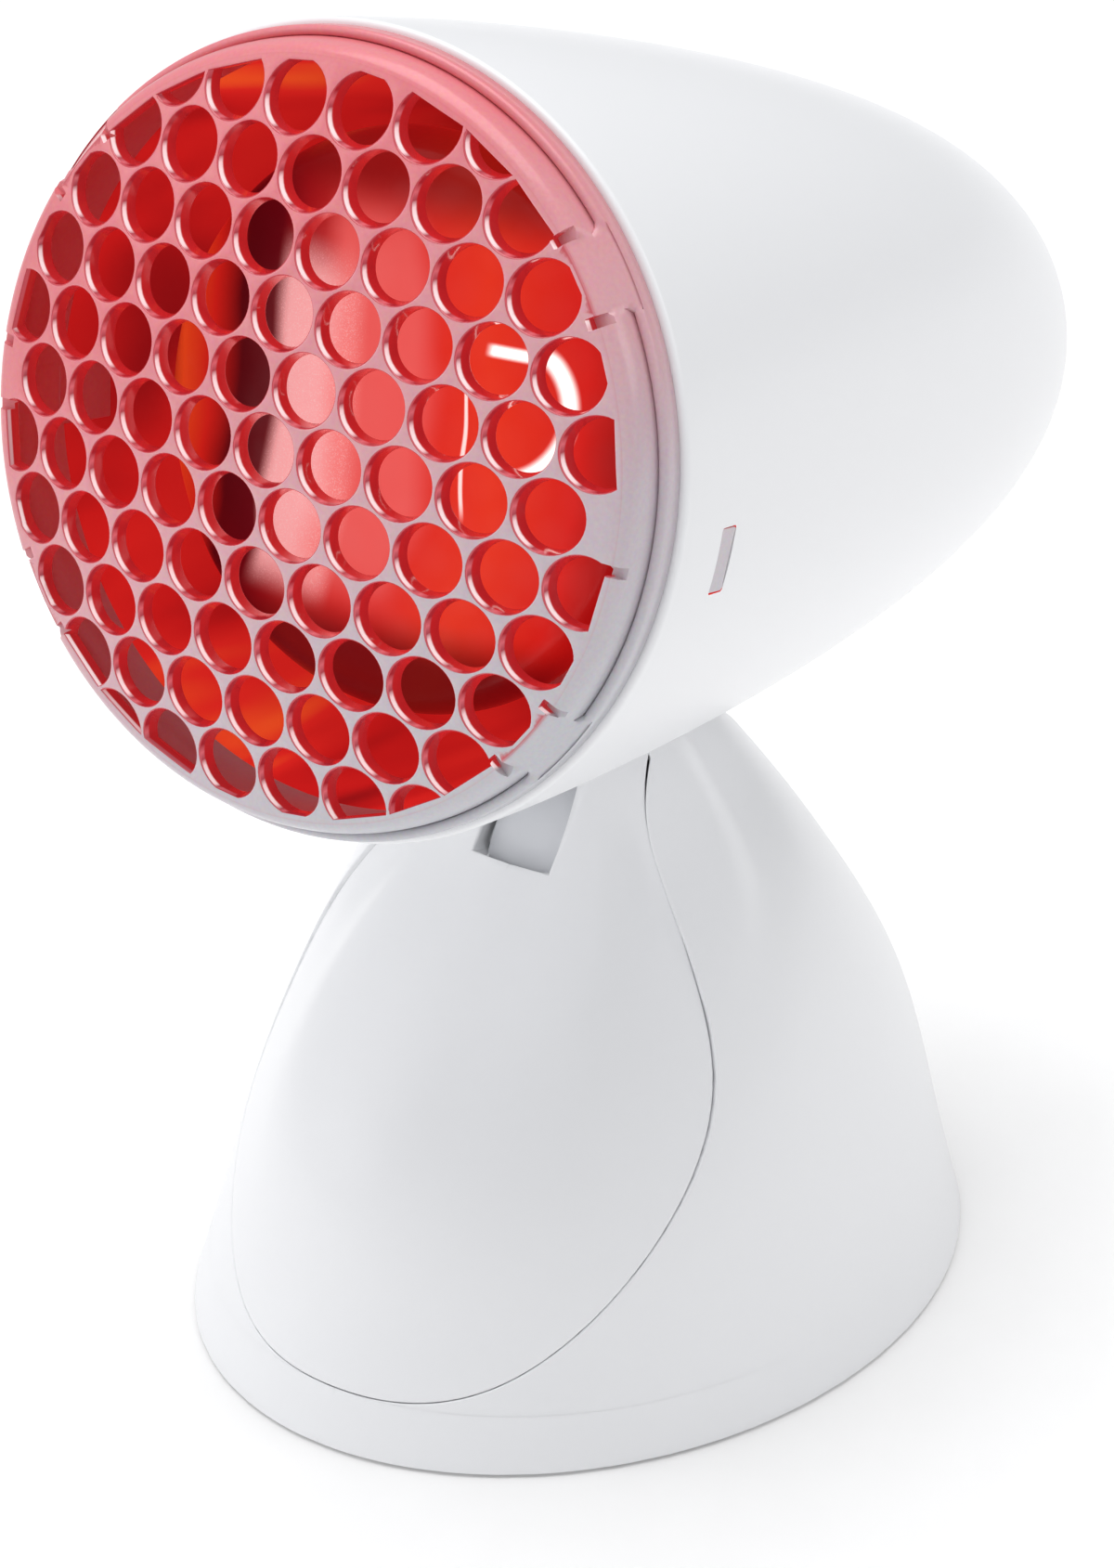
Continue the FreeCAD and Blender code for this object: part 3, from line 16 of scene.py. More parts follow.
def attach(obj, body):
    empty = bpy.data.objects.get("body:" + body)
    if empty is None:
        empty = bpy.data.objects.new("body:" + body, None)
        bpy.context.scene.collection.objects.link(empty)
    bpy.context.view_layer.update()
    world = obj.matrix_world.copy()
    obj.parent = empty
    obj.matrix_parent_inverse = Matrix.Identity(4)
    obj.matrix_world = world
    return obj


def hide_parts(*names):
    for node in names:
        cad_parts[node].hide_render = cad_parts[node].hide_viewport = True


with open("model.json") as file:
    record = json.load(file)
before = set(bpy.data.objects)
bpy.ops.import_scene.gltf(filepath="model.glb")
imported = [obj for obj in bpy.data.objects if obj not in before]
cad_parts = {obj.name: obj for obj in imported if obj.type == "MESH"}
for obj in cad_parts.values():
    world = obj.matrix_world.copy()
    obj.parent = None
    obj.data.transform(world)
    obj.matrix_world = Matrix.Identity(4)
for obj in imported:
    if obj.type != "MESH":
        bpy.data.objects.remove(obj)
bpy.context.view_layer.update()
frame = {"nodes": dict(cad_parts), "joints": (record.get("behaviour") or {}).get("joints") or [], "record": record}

MM = 0.001


# Camera: to the lamp's right, above it, and looking a little down.
CAMERA_PLACE = (0.41497, -0.60440, 0.45615)
CAMERA_DOWN = math.radians(26.256)
CAMERA_TURN = math.radians(34.853)
SENSOR_HEIGHT = 36.0
LENS = 106.57
camera_data = bpy.data.cameras.new("camera")
camera_data.sensor_fit = "VERTICAL"
camera_data.sensor_height = SENSOR_HEIGHT
camera_data.lens = LENS
camera = bpy.data.objects.new("camera", camera_data)
camera.location = CAMERA_PLACE
camera.rotation_euler = (math.pi / 2 - CAMERA_DOWN, 0.0, CAMERA_TURN)
bpy.context.scene.collection.objects.link(camera)
bpy.context.scene.camera = camera


# Floor and light: a plain white sweep in a studio tent that is brighter in front and to the left, with one
# very large box overhead and a smaller one at each side.
FLOOR_HALF = 5.0
FLOOR_LIFT = 0.05
PAPER_DARK, PAPER_LIGHT = (0.93, 0.925, 0.92), (0.96, 0.955, 0.95)
TENT_TOWARDS_LIGHT = (-0.55, -0.45, 0.70)
TENT_AWAY, TENT_TOWARDS = -0.7, 0.9
TENT_DARK, TENT_BRIGHT = 0.17, 0.76
TENT_COLOUR = (0.97, 0.98, 1.0, 1.0)
bpy.context.scene.view_settings.view_transform = "Standard"


def feed(tree, socket, value):
    """A socket given a value of its own, or joined to another socket."""
    if isinstance(value, bpy.types.NodeSocket):
        tree.links.new(value, socket)
    else:
        socket.default_value = value


def add(tree, kind, **settings):
    """A node of a kind, with its own settings, and with its inputs fed by name."""
    node = tree.nodes.new(kind)
    for name, value in settings.items():
        if hasattr(node, name):
            setattr(node, name, value)
        else:
            feed(tree, node.inputs[name.replace("_", " ")], value)
    return node


def new_material(name):
    """An empty material, its tree, and the piece's own coordinates in it."""
    material = bpy.data.materials.new(name)
    material.use_nodes = True
    tree = material.node_tree
    return material, tree, add(tree, "ShaderNodeTexCoord").outputs["Object"]


def shade(tree, **inputs):
    """The shader's inputs, fed by name."""
    for name, value in inputs.items():
        feed(tree, tree.nodes["Principled BSDF"].inputs[name.replace("_", " ")], value)


def noise(tree, where, scale, **settings):
    """A cloudy value from 0 to 1, finer with a larger scale."""
    return add(tree, "ShaderNodeTexNoise", Vector=where, Scale=scale, **settings).outputs["Fac"]


def ramp(tree, value, stops):
    """A value made a colour, from stops of (place, colour) in order."""
    node = add(tree, "ShaderNodeValToRGB", Fac=value)
    for stop, (place, colour) in zip(node.color_ramp.elements, (stops[0], stops[-1])):
        stop.position = place
        stop.color = tuple(colour) + (1.0,)
    for place, colour in stops[1:-1]:
        node.color_ramp.elements.new(place).color = colour + (1.0,)
    return node.outputs["Color"]


def toned(tree, value, colour, darkest):
    """A colour that a value from 0 to 1 lifts from its darkest share of itself to its full tone."""
    return ramp(tree, value, ((0.0, tuple(c * darkest for c in colour)), (1.0, colour)))


def ranged(tree, value, low, high, start=0.0, end=1.0, shape="LINEAR"):
    """A value carried from the range low to high into the range start to end, and held at its ends."""
    return add(tree, "ShaderNodeMapRange", interpolation_type=shape, Value=value, From_Min=low,
               From_Max=high, To_Min=start, To_Max=end).outputs["Result"]


def reach_along(tree, vector, way):
    """How far a vector reaches along a way."""
    node = add(tree, "ShaderNodeVectorMath", operation="DOT_PRODUCT", Vector=vector)
    node.inputs[1].default_value = tuple(way)
    return node.outputs["Value"]


def paper():
    """Matt white paper with a faint fibre, lifted a little so that it stays white away from the lamp."""
    material, tree, where = new_material("white_sweep")
    fibre = noise(tree, where, 60.0)
    shade(tree, Base_Color=ramp(tree, fibre, ((0.0, PAPER_DARK), (1.0, PAPER_LIGHT))), Roughness=0.9,
          Specular_IOR_Level=0.1, Emission_Color=(1.0, 1.0, 1.0, 1.0), Emission_Strength=FLOOR_LIFT)
    return material


floor_mesh = bpy.data.meshes.new("floor")
floor_corners = [(x * FLOOR_HALF, y * FLOOR_HALF, 0.0) for x, y in ((-1, -1), (1, -1), (1, 1), (-1, 1))]
floor_mesh.from_pydata(floor_corners, [], [(0, 1, 2, 3)])
floor_mesh.materials.append(paper())
floor = bpy.data.objects.new("floor", floor_mesh)
bpy.context.scene.collection.objects.link(floor)


def softbox(name, place, target, size, power):
    """A rectangular light at a place, turned to its target."""
    light = bpy.data.lights.new(name, "AREA")
    light.shape = "RECTANGLE"
    light.size, light.size_y = size
    light.energy = power
    box = bpy.data.objects.new(name, light)
    box.location = place
    box.rotation_euler = (Vector(target) - Vector(place)).to_track_quat("-Z", "Y").to_euler()
    bpy.context.scene.collection.objects.link(box)


softbox("overhead_box", (-0.30, 0.10, 2.60), (0.0, 0.0, 0.10), (2.40, 2.40), 43.0)
softbox("left_box", (-1.00, -0.80, 0.75), (0.0, 0.0, 0.13), (0.70, 0.90), 1.6)
softbox("right_box", (1.15, 0.55, 0.90), (0.0, 0.0, 0.14), (0.60, 0.90), 3.2)
world = bpy.data.worlds.new("studio_tent")
world.use_nodes = True
tent = world.node_tree
tent_side = reach_along(tent, add(tent, "ShaderNodeTexCoord").outputs["Generated"], TENT_TOWARDS_LIGHT)
backdrop = tent.nodes["Background"].inputs
feed(tent, backdrop["Strength"], ranged(tent, tent_side, TENT_AWAY, TENT_TOWARDS, TENT_DARK, TENT_BRIGHT))
feed(tent, backdrop["Color"], TENT_COLOUR)
bpy.context.scene.world = world


# Rear shell of the stand: white injection-moulded plastic. A bell on an oval foot, with a skirt that runs
# under the front panel, and a saddle over the crown that follows the belly of the head as it tilts. A slot
# through the crown lets the arm through. Screws from below hold it to the base plate.
PIVOT = np.array(frame["joints"][0]["pos_m"]) / MM
STATIONS = (0.0, 20.0, 45.0, 75.0, 89.0, 110.0)
HALF_WIDTHS = (65.6, 60.9, 54.0, 44.0, 37.2, 22.4)
FRONT_REACHES = (81.2, 72.8, 64.0, 37.8, 22.8, 13.3)
REAR_REACHES = (81.2, 75.5, 69.5, 49.7, 38.9, 22.5)
RIM_HEIGHT = 0.8
WALL = 2.5
EDGE_ROUNDING = 0.35
CROWN_ROUNDING = 1.6
SLOT_HALF = 7.95
SEAM_FOOT = (0.0, 10.0)
SEAM_SIDE = ((28.6, 15.2), (45.4, 42.0), (33.0, 81.6), (20.7, 100.1), (18.9, 109.0))
SEAM_INSET_RISE = 0.7
SEAM_CROWN_REACH = 4.0
CROWN_HEIGHT = 110.0
SADDLE_RADIUS = 30.2
SADDLE_HALF = 50.0
HEAD_BELLY = 56.7
SADDLE_FRONT = math.radians(-25.0)
SADDLE_REAR = math.radians(35.4)
SLOT_REAR = math.radians(58.6)
NECK_START, NECK_END = 88.0, 92.0
EDGE_SPACING = (0.0, 0.06, 0.14, 0.26, 0.42, 0.65, 1.0, 1.6, 2.6)
FIRST_STEPS = (CROWN_ROUNDING / 14.0, 0.2)
SKIRT_ROWS, SEAM_ROWS, NECK_ROWS, SADDLE_ROWS = 12, 150, 25, 9
SHELL_COLUMNS, SHELL_SPAN = 64, 90.0
LOOKUP_ROWS = 400
SHELL_CROWN = (85.0, 116.0)
SHELL_WHITE = (0.885, 0.89, 0.905)


def spline(knots, values):
    """The cubic through the values with no bend at its ends."""
    knots = np.array(knots, float)
    values = np.array(values, float)
    step = np.diff(knots)
    slope = np.diff(values) / step
    matrix = np.eye(len(knots))
    turn = np.zeros(len(knots))
    for i in range(1, len(knots) - 1):
        matrix[i, i - 1:i + 2] = step[i - 1], 2 * (step[i - 1] + step[i]), step[i]
        turn[i] = 6 * (slope[i] - slope[i - 1])
    bend = np.linalg.solve(matrix, turn)

    def at(place):
        i = np.clip(np.searchsorted(knots, place, side="right") - 1, 0, len(knots) - 2)
        rise = (knots[i + 1] - place) / step[i]
        run = (place - knots[i]) / step[i]
        curve = (rise ** 3 - rise) * bend[i] + (run ** 3 - run) * bend[i + 1]
        return rise * values[i] + run * values[i + 1] + curve * step[i] ** 2 / 6

    return at


half_width = spline(STATIONS, HALF_WIDTHS)
front_reach = spline(STATIONS, FRONT_REACHES)
rear_reach = spline(STATIONS, REAR_REACHES)


def bell(turn, height):
    """The bell: at each height two half ellipses, x = width cos(turn) and y = reach sin(turn)."""
    reach = np.where(np.sin(turn) > 0, rear_reach(height), front_reach(height))
    return np.stack([half_width(height) * np.cos(turn), reach * np.sin(turn), height + 0 * turn], -1)


def saddle(x, y):
    """Height of the crown: an arc about the tilt bolt, wider away from the middle, with straight run-outs."""
    belly = np.sqrt(HEAD_BELLY ** 2 - np.minimum(np.abs(x), SADDLE_HALF) ** 2)
    radius = SADDLE_RADIUS + HEAD_BELLY - belly
    along = y - PIVOT[1]
    angle = np.clip(np.arcsin(np.clip(along / radius, -1, 1)), SADDLE_FRONT, SADDLE_REAR)
    return PIVOT[2] + radius * np.cos(angle) - np.tan(angle) * (along - radius * np.sin(angle))


def on_saddle(x, y):
    """The saddle as a surface over x and y."""
    return np.stack([x, y, saddle(x, y)], -1)


def meeting(surface, place, low, high):
    """Height at which a surface meets the saddle at each place, closed in on by halving."""
    low, high = np.full(np.shape(place), low), np.full(np.shape(place), high)
    for _ in range(30):
        middle = (low + high) / 2
        point = surface(place, middle)
        under = middle < saddle(point[..., 0], point[..., 1])
        low = np.where(under, middle, low)
        high = np.where(under, high, middle)
    return low


def square_to(surface, a, b, step=0.01):
    """The unit normal of a surface of two parameters, from small steps along each."""
    along_a = surface(a + step, b) - surface(a - step, b)
    along_b = surface(a, b + step) - surface(a, b - step)
    normal = np.cross(along_a, along_b)
    return normal / np.linalg.norm(normal, axis=-1, keepdims=True)


def run_length(line):
    """Length along a line of points, from nothing at its first."""
    return np.concatenate([[0.0], np.cumsum(np.linalg.norm(np.diff(line, axis=0), axis=1))])


def seam_curve(inset, count):
    """The right half of the teardrop, foot to neck, as (x, z): a cubic over the length of its chords."""
    side = [(x - inset, z) for x, z in SEAM_SIDE]
    side[0] = (side[0][0], side[0][1] + inset * SEAM_INSET_RISE)
    points = np.array([(-x, z) for x, z in reversed(side)] + [(0.0, SEAM_FOOT[1] + inset)] + side)
    length = run_length(points)
    place = np.linspace(length[len(side)], length[-1], count)
    return np.stack([spline(length, points[:, 0])(place), spline(length, points[:, 1])(place)], -1)


def graded(count, span):
    """Shares from 0 to 1, even in the middle and crowded at both ends to carry a rounded edge."""
    edge = np.array(EDGE_SPACING) / span
    middle = np.linspace(edge[-1], 1 - edge[-1], count + 2)[1:-1]
    return np.concatenate([edge, middle, 1 - edge[::-1]])


def distance_to(points, line):
    """Distance from each point to a line given by close points, along the last axis."""
    flat = points.reshape(-1, points.shape[-1])
    nearest = np.full(len(flat), np.inf)
    for part in np.array_split(line, max(1, len(line) // 200)):
        gap = flat[:, None, :] - part[None, :, :]
        nearest = np.minimum(nearest, np.sqrt((gap ** 2).sum(-1)).min(1))
    return nearest.reshape(points.shape[:-1])


def roll(distance, radius):
    """How far a rounded edge falls away at a distance from it: a quarter circle."""
    away = radius - np.minimum(distance, radius)
    return radius - np.sqrt(np.maximum(radius ** 2 - away ** 2, 0.0))


def fine(line, step=0.12):
    """A line of points filled in to close steps."""
    length = run_length(line)
    place = np.arange(0.0, length[-1], step)
    return np.stack([np.interp(place, length, line[:, i]) for i in range(line.shape[1])], -1)


def grid_faces(rows, columns, around=False):
    """Quads between neighbouring points of a grid, row by row, closed around if asked."""
    row = np.arange(rows - 1)[:, None] * columns
    column = np.arange(columns if around else columns - 1)[None, :]
    beside = (column + 1) % columns
    quads = [row + column, row + beside, row + columns + beside, row + columns + column]
    return np.stack(quads, -1).reshape(-1, 4)


def mirrored(skins, faces):
    """The other half added in X, with the points of the middle plane shared."""
    both = [np.concatenate([skin, skin * (-1, 1, 1)]) for skin in skins]
    all_faces = np.concatenate([faces, faces[:, ::-1] + len(skins[0])])
    _, first, index = np.unique(np.round(both[0], 4) + 0.0, axis=0, return_index=True, return_inverse=True)
    return [skin[first] for skin in both], index.reshape(-1)[all_faces]


def walled(outer, inner):
    """A half skin and its inner side made a closed wall, left and right: both skins, and a strip along each
    open edge.
    """
    faces = grid_faces(*outer.shape[:2])
    skins, faces = mirrored([outer.reshape(-1, 3), inner.reshape(-1, 3)], faces)
    count = len(skins[0])
    edges = np.concatenate([faces[:, [i, (i + 1) % 4]] for i in range(4)])
    ahead = edges[:, 0] * count + edges[:, 1]
    back = edges[:, 1] * count + edges[:, 0]
    loose = edges[~np.isin(ahead, back)]
    rim = np.stack([loose[:, 1], loose[:, 0], loose[:, 0] + count, loose[:, 1] + count], -1)
    return np.concatenate(skins), np.concatenate([faces, faces[:, ::-1] + count, rim])


def closed_mesh(name, points, faces, doubles=2e-6):
    """A mesh in metres from points in millimetres: its doubles merged, its faces outward."""
    mesh = bpy.data.meshes.new(name)
    faces = faces if isinstance(faces, list) else faces.tolist()
    mesh.from_pydata((np.reshape(points, (-1, 3)) * MM).tolist(), [], faces)
    tidy = bmesh.new()
    tidy.from_mesh(mesh)
    bmesh.ops.remove_doubles(tidy, verts=tidy.verts, dist=doubles)
    bmesh.ops.recalc_face_normals(tidy, faces=tidy.faces)
    tidy.to_mesh(mesh)
    tidy.free()
    return mesh


def finish_shading(made, sharp):
    """Smooth shading, broken at edges sharper than an angle."""
    made.data.shade_smooth()
    made.data.set_sharp_from_angle(angle=math.radians(sharp))


def piece(mesh, material, body, node, sharp=38.0):
    """A mesh made a finished piece that stands for a node of the construction and rides on its body."""
    made = bpy.data.objects.new(mesh.name, mesh)
    bpy.context.scene.collection.objects.link(made)
    mesh.materials.clear()
    mesh.materials.append(material)
    finish_shading(made, sharp)
    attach(made, body)
    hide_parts(node)
    return made


def bumped(tree, height, strength, distance=0.0001):
    """A surface raised by a height of at most a distance in metres."""
    return add(tree, "ShaderNodeBump", Strength=strength, Distance=distance, Height=height).outputs["Normal"]


def shell_plastic(name, colour, roughness):
    """White moulded plastic: a faint, fine mottle in tone and gloss, and the orange peel of the mould."""
    material, tree, where = new_material(name)
    mottle = noise(tree, where, 700.0, Detail=2.0)
    peel = noise(tree, where, 1800.0, Detail=1.0)
    shade(tree, Base_Color=toned(tree, mottle, colour, 0.992),
          Roughness=ranged(tree, mottle, 0.0, 1.0, roughness - 0.02, roughness + 0.02),
          Normal=bumped(tree, peel, 0.03), Specular_IOR_Level=0.45, Coat_Weight=0.12, Coat_Roughness=0.15)
    return material


def steps_in(first, second, count):
    """Shares of the way in over the saddle: one short step, then even ones."""
    return np.concatenate([[first], np.linspace(second, 1.0, count)])[:, None]


def eased(start, knee, end, share):
    """A curve from a start to an end that bends towards the knee between them."""
    return (1 - share) ** 2 * start + 2 * share * (1 - share) * knee + share ** 2 * end


def crown_rows(edge, below, inward, normal_below):
    """The crown's rounding and the saddle beyond it: a curve from a row below the edge to one inside it."""
    share = np.linspace(0.0, 1.0, 6)[1:-1, None, None]
    corner = eased(below, edge, inward[0], share)
    top = np.concatenate([corner, inward])
    up = square_to(on_saddle, top[..., 0], top[..., 1])
    weight = np.concatenate([share[:, :, 0] + 0 * edge[None, :, 0], np.ones(inward.shape[:2])])[..., None]
    normal = normal_below * (1 - weight) + up * weight
    return top, normal / np.linalg.norm(normal, axis=-1, keepdims=True)


white_shell = shell_plastic("white_shell", SHELL_WHITE, 0.30)
seam = seam_curve(0.0, SEAM_ROWS)
seam = seam[seam[:, 1] < NECK_END]
left_x = np.concatenate([np.zeros(SKIRT_ROWS), seam[1:, 0]])
left_z = np.concatenate([np.linspace(RIM_HEIGHT, SEAM_FOOT[1], SKIRT_ROWS), seam[1:, 1]])
left_turn = -np.arccos(left_x / half_width(left_z))
slot_floor = PIVOT[2]
for _ in range(20):
    slot_floor = PIVOT[2] + (rear_reach(slot_floor) - PIVOT[1]) / math.tan(SLOT_REAR)
climb = (slot_floor - RIM_HEIGHT) / (NECK_START - RIM_HEIGHT)
right_z = np.where(left_z < NECK_START, RIM_HEIGHT + (left_z - RIM_HEIGHT) * climb, slot_floor)
right_x = np.clip((left_z - NECK_START) / (left_z[-1] - NECK_START), 0.0, 1.0) * SLOT_HALF
right_turn = np.arccos(right_x / half_width(right_z))
across = graded(SHELL_COLUMNS, SHELL_SPAN)
turns = left_turn[:, None] + (right_turn - left_turn)[:, None] * across
heights = left_z[:, None] + (right_z - left_z)[:, None] * across

neck_share = np.linspace(0.0, 1.0, NECK_ROWS + 1)[1:, None]
seam_above = seam_curve(0.0, LOOKUP_ROWS)
neck_top = slot_top = CROWN_HEIGHT
for _ in range(8):
    neck_top = meeting(bell, -np.arccos(SEAM_SIDE[-1][0] / half_width(neck_top)), *SHELL_CROWN)
    slot_top = meeting(bell, np.arccos(SLOT_HALF / half_width(slot_top)), *SHELL_CROWN)
neck_z = left_z[-1] + neck_share[:, 0] * (neck_top - CROWN_ROUNDING - left_z[-1])
neck_left = -np.arccos(np.interp(neck_z, seam_above[:, 1], seam_above[:, 0]) / half_width(neck_z))
slot_z = slot_floor + neck_share[:, 0] * (slot_top - CROWN_ROUNDING - slot_floor)
neck_right = np.arccos(SLOT_HALF / half_width(slot_z))
neck_turns = neck_left[:, None] + (neck_right - neck_left)[:, None] * across
edge_z = meeting(bell, neck_turns[-1], *SHELL_CROWN)
neck_heights = heights[-1] + neck_share * (edge_z - CROWN_ROUNDING - heights[-1])
turns = np.concatenate([turns, neck_turns])
heights = np.concatenate([heights, neck_heights])
skin = bell(turns, heights)
normal = square_to(bell, turns, heights)
normal *= np.sign((normal[..., :2] * skin[..., :2]).sum(-1))[..., None]

edge = bell(neck_turns[-1], edge_z)
crown_inside = np.array([edge[0, :2], (edge[0, 0], -SEAM_CROWN_REACH), (SLOT_HALF, -SEAM_CROWN_REACH),
                         (SLOT_HALF, edge[-1, 1])])
inside_length = run_length(crown_inside)
inside_x = np.interp(across * inside_length[-1], inside_length, crown_inside[:, 0])
inside_y = np.interp(across * inside_length[-1], inside_length, crown_inside[:, 1])
reach_in = steps_in(*FIRST_STEPS, SADDLE_ROWS)
inward = on_saddle(edge[:, 0] + reach_in * (inside_x - edge[:, 0]),
                   edge[:, 1] + reach_in * (inside_y - edge[:, 1]))
crown, crown_normal = crown_rows(edge, skin[-1], inward, normal[-1])
slot_side = np.concatenate([skin, crown])[len(skin) - NECK_ROWS - 1:, -1]
skin = np.concatenate([skin, crown])
normal = np.concatenate([normal, crown_normal])
borders = np.concatenate([fine(skin[0]), fine(skin[SKIRT_ROWS:, 0]), fine(skin[-1]), fine(slot_side)])
outer = skin - normal * roll(distance_to(skin, borders), EDGE_ROUNDING)[..., None]
inner = skin - normal * WALL
inner[..., 2] = np.maximum(inner[..., 2], RIM_HEIGHT)
piece(closed_mesh("rear_shell", *walled(outer, inner)), white_shell, "stand",
      "stand_rear_shell")


# Front panel of the stand: white moulded plastic, a teardrop set into the bell. Its shoulders swell a little
# and its flanks are hollowed beside the seam; a notch at the top shows the arm's knuckle, and its sides are
# scooped away towards the head and turned in behind.
SEAM_GAP = 0.16
NOTCH_HEIGHT = 88.6
NOTCH_BLEND = 2.0
SHOULDER_SWELL = 0.9
SWELL_SHARE, SWELL_REACH = 0.5, 0.3
FLANK_HOLLOW = 2.6
HOLLOW_SHARE, HOLLOW_REACH = 0.86, 0.26
RELIEF_HEIGHT = 83.0
RELIEF_SPAN = 62.0
RELIEF_RUN_OUT = 24.0
RELIEF_FADE = 8
SCOOP_WIDTH = 4.4
SCOOP_DEPTH = 2.4
NOTCH_LIP = 1.8
NOTCH_RETURN = 3.6
PANEL_ROWS, PANEL_NECK_ROWS, PANEL_SADDLE_ROWS = 170, 17, 5
PANEL_COLUMNS, PANEL_SPAN = 40, 34.0
PANEL_CROWN = (90.0, 114.0)
PANEL_FIRST_STEPS = (0.2, 0.35)
seam_width = spline([z for _, z in SEAM_SIDE], [x for x, _ in SEAM_SIDE])


def window(value, middle, reach):
    """A soft bump: one at the middle, nothing beyond its reach."""
    return np.cos(np.minimum(np.abs(value - middle) / reach, 1.0) * np.pi / 2) ** 2


def panel_skin(x, z):
    """The panel over (x, z): the bell's front, moved out by its swell and in by the hollow of its flanks."""
    width, reach = half_width(z), front_reach(z)
    y = -reach * np.sqrt(np.maximum(1 - (x / width) ** 2, 0.0))
    square = np.stack([x / width ** 2, y / reach ** 2], -1)
    square /= np.linalg.norm(square, axis=-1, keepdims=True)
    share = np.abs(x) / np.maximum(seam_width(np.minimum(z, SEAM_SIDE[-1][1])), 1.0)
    swell = SHOULDER_SWELL * window(share, SWELL_SHARE, SWELL_REACH)
    hollow = FLANK_HOLLOW * window(share, HOLLOW_SHARE, HOLLOW_REACH)
    fade = 1 - np.minimum(np.abs(x) / width, 1.0) ** RELIEF_FADE
    span = np.where(z < RELIEF_HEIGHT, RELIEF_SPAN, RELIEF_RUN_OUT)
    above_notch = np.clip((z - NOTCH_HEIGHT) / (CROWN_HEIGHT - NOTCH_HEIGHT), 0.0, 1.0)
    scooped = np.clip(1 - (np.abs(x) - SLOT_HALF) / (SCOOP_WIDTH * above_notch + 1e-6), 0.0, 1.0)
    relief = fade * (swell - hollow) * window(z, RELIEF_HEIGHT, span)
    relief = relief - SCOOP_DEPTH * above_notch * scooped ** 2
    return np.stack([x + square[..., 0] * relief, y + square[..., 1] * relief, z + 0 * x], -1)


seam = seam_curve(SEAM_GAP, PANEL_ROWS)[1:]
seam = seam[seam[:, 1] < NOTCH_HEIGHT + NOTCH_BLEND]
slide_from = NOTCH_HEIGHT - NOTCH_BLEND
foot_z = SEAM_FOOT[1] + SEAM_GAP
middle_z = foot_z + (seam[:, 1] - foot_z) * (NOTCH_HEIGHT - foot_z) / (slide_from - foot_z)
middle_x = np.clip((seam[:, 1] - slide_from) / (seam[-1, 1] - slide_from), 0.0, 1.0) * SLOT_HALF
middle = np.stack([middle_x, np.minimum(middle_z, NOTCH_HEIGHT)], -1)
across = graded(PANEL_COLUMNS, PANEL_SPAN)[:, None]
flat = middle[:, None] + (seam - middle)[:, None] * across
neck_share = np.linspace(0.0, 1.0, PANEL_NECK_ROWS + 1)[1:, None]
seam_above = seam_curve(SEAM_GAP, LOOKUP_ROWS)
top_x = SEAM_SIDE[-1][0] - SEAM_GAP
seam_top = meeting(panel_skin, np.array(top_x), *PANEL_CROWN) - CROWN_ROUNDING
neck_z = seam[-1, 1] + neck_share[:, 0] * (seam_top - seam[-1, 1])
neck_x = np.interp(neck_z, seam_above[:, 1], seam_above[:, 0])
neck_across = SLOT_HALF + (neck_x - SLOT_HALF)[:, None] * across[:, 0]
edge_z = meeting(panel_skin, neck_across[-1], *PANEL_CROWN)
neck_heights = flat[-1, :, 1] + neck_share * (edge_z - CROWN_ROUNDING - flat[-1, :, 1])
flat = np.concatenate([flat, np.stack([neck_across, neck_heights], -1)])
skin = panel_skin(flat[..., 0], flat[..., 1])
normal = square_to(panel_skin, flat[..., 0], flat[..., 1])
normal *= -np.sign(normal[..., 1:2])

edge = panel_skin(neck_across[-1], edge_z)
reach_in = steps_in(*PANEL_FIRST_STEPS, PANEL_SADDLE_ROWS)
inward = on_saddle(edge[:, 0] + 0 * reach_in,
                   edge[:, 1] + reach_in * np.maximum(-SEAM_CROWN_REACH - SEAM_GAP - edge[:, 1], 0.2))
crown, crown_normal = crown_rows(edge, skin[-1], inward, normal[-1])
notch_row = int(np.argmax(middle_x > 0.0)) - 1
notch_side = fine(skin[len(middle):, 0])
borders = np.concatenate([fine(skin[:, -1]), fine(skin[0]), fine(skin[notch_row:, 0])])
skin = np.concatenate([skin, crown])
normal = np.concatenate([normal, crown_normal])
outer = skin - normal * roll(distance_to(skin, borders), EDGE_ROUNDING)[..., None]
inner = skin - normal * WALL
returned = np.clip((NOTCH_LIP - distance_to(skin, notch_side)) / (NOTCH_LIP / 3), 0.0, 1.0)
returned[-len(crown):] = 0.0
inner[..., 1] += NOTCH_RETURN * returned
piece(closed_mesh("front_panel", *walled(outer, inner)), white_shell, "stand",
      "stand_front_panel")


# Head housing: one white moulded bullet, thin-walled, with a slot at each side for the guard's latches, a
# mouth below for the arm, and five vents in its tail.
TILT = math.radians(11.8)
FORWARD = np.array([0.0, -math.cos(TILT), math.sin(TILT)])
UPWARD = np.array([0.0, math.sin(TILT), math.cos(TILT)])
HEAD_REACH = 109.9
HEAD_RISE = 88.4
HEAD_ORIGIN = PIVOT + FORWARD * HEAD_REACH + UPWARD * HEAD_RISE
HEAD_AXES = np.array([[1.0, 0.0, 0.0], UPWARD, FORWARD])
HOUSING_RADIUS = 65.1
HOUSING_LENGTH = 200.45
HOUSING_TAPER = 1.37
HOUSING_FULLNESS = 3.0
HOUSING_WALL = 2.4
HOUSING_ROWS, INSIDE_ROWS, HOUSING_POINTS = 110, 60, 240
LIP_SETBACK = 19.0
LIP_ROUNDING = 0.9
LATCH_ANGLES = (186.2, -6.2)
LATCH_SETBACK = 33.5
LATCH_LENGTH = 10.9
LATCH_HEIGHT = 4.3
LATCH_CORNER = 0.5
SLOT_INSIDE, SLOT_OUTSIDE = 12, 6
ARM_HALF = 7.2
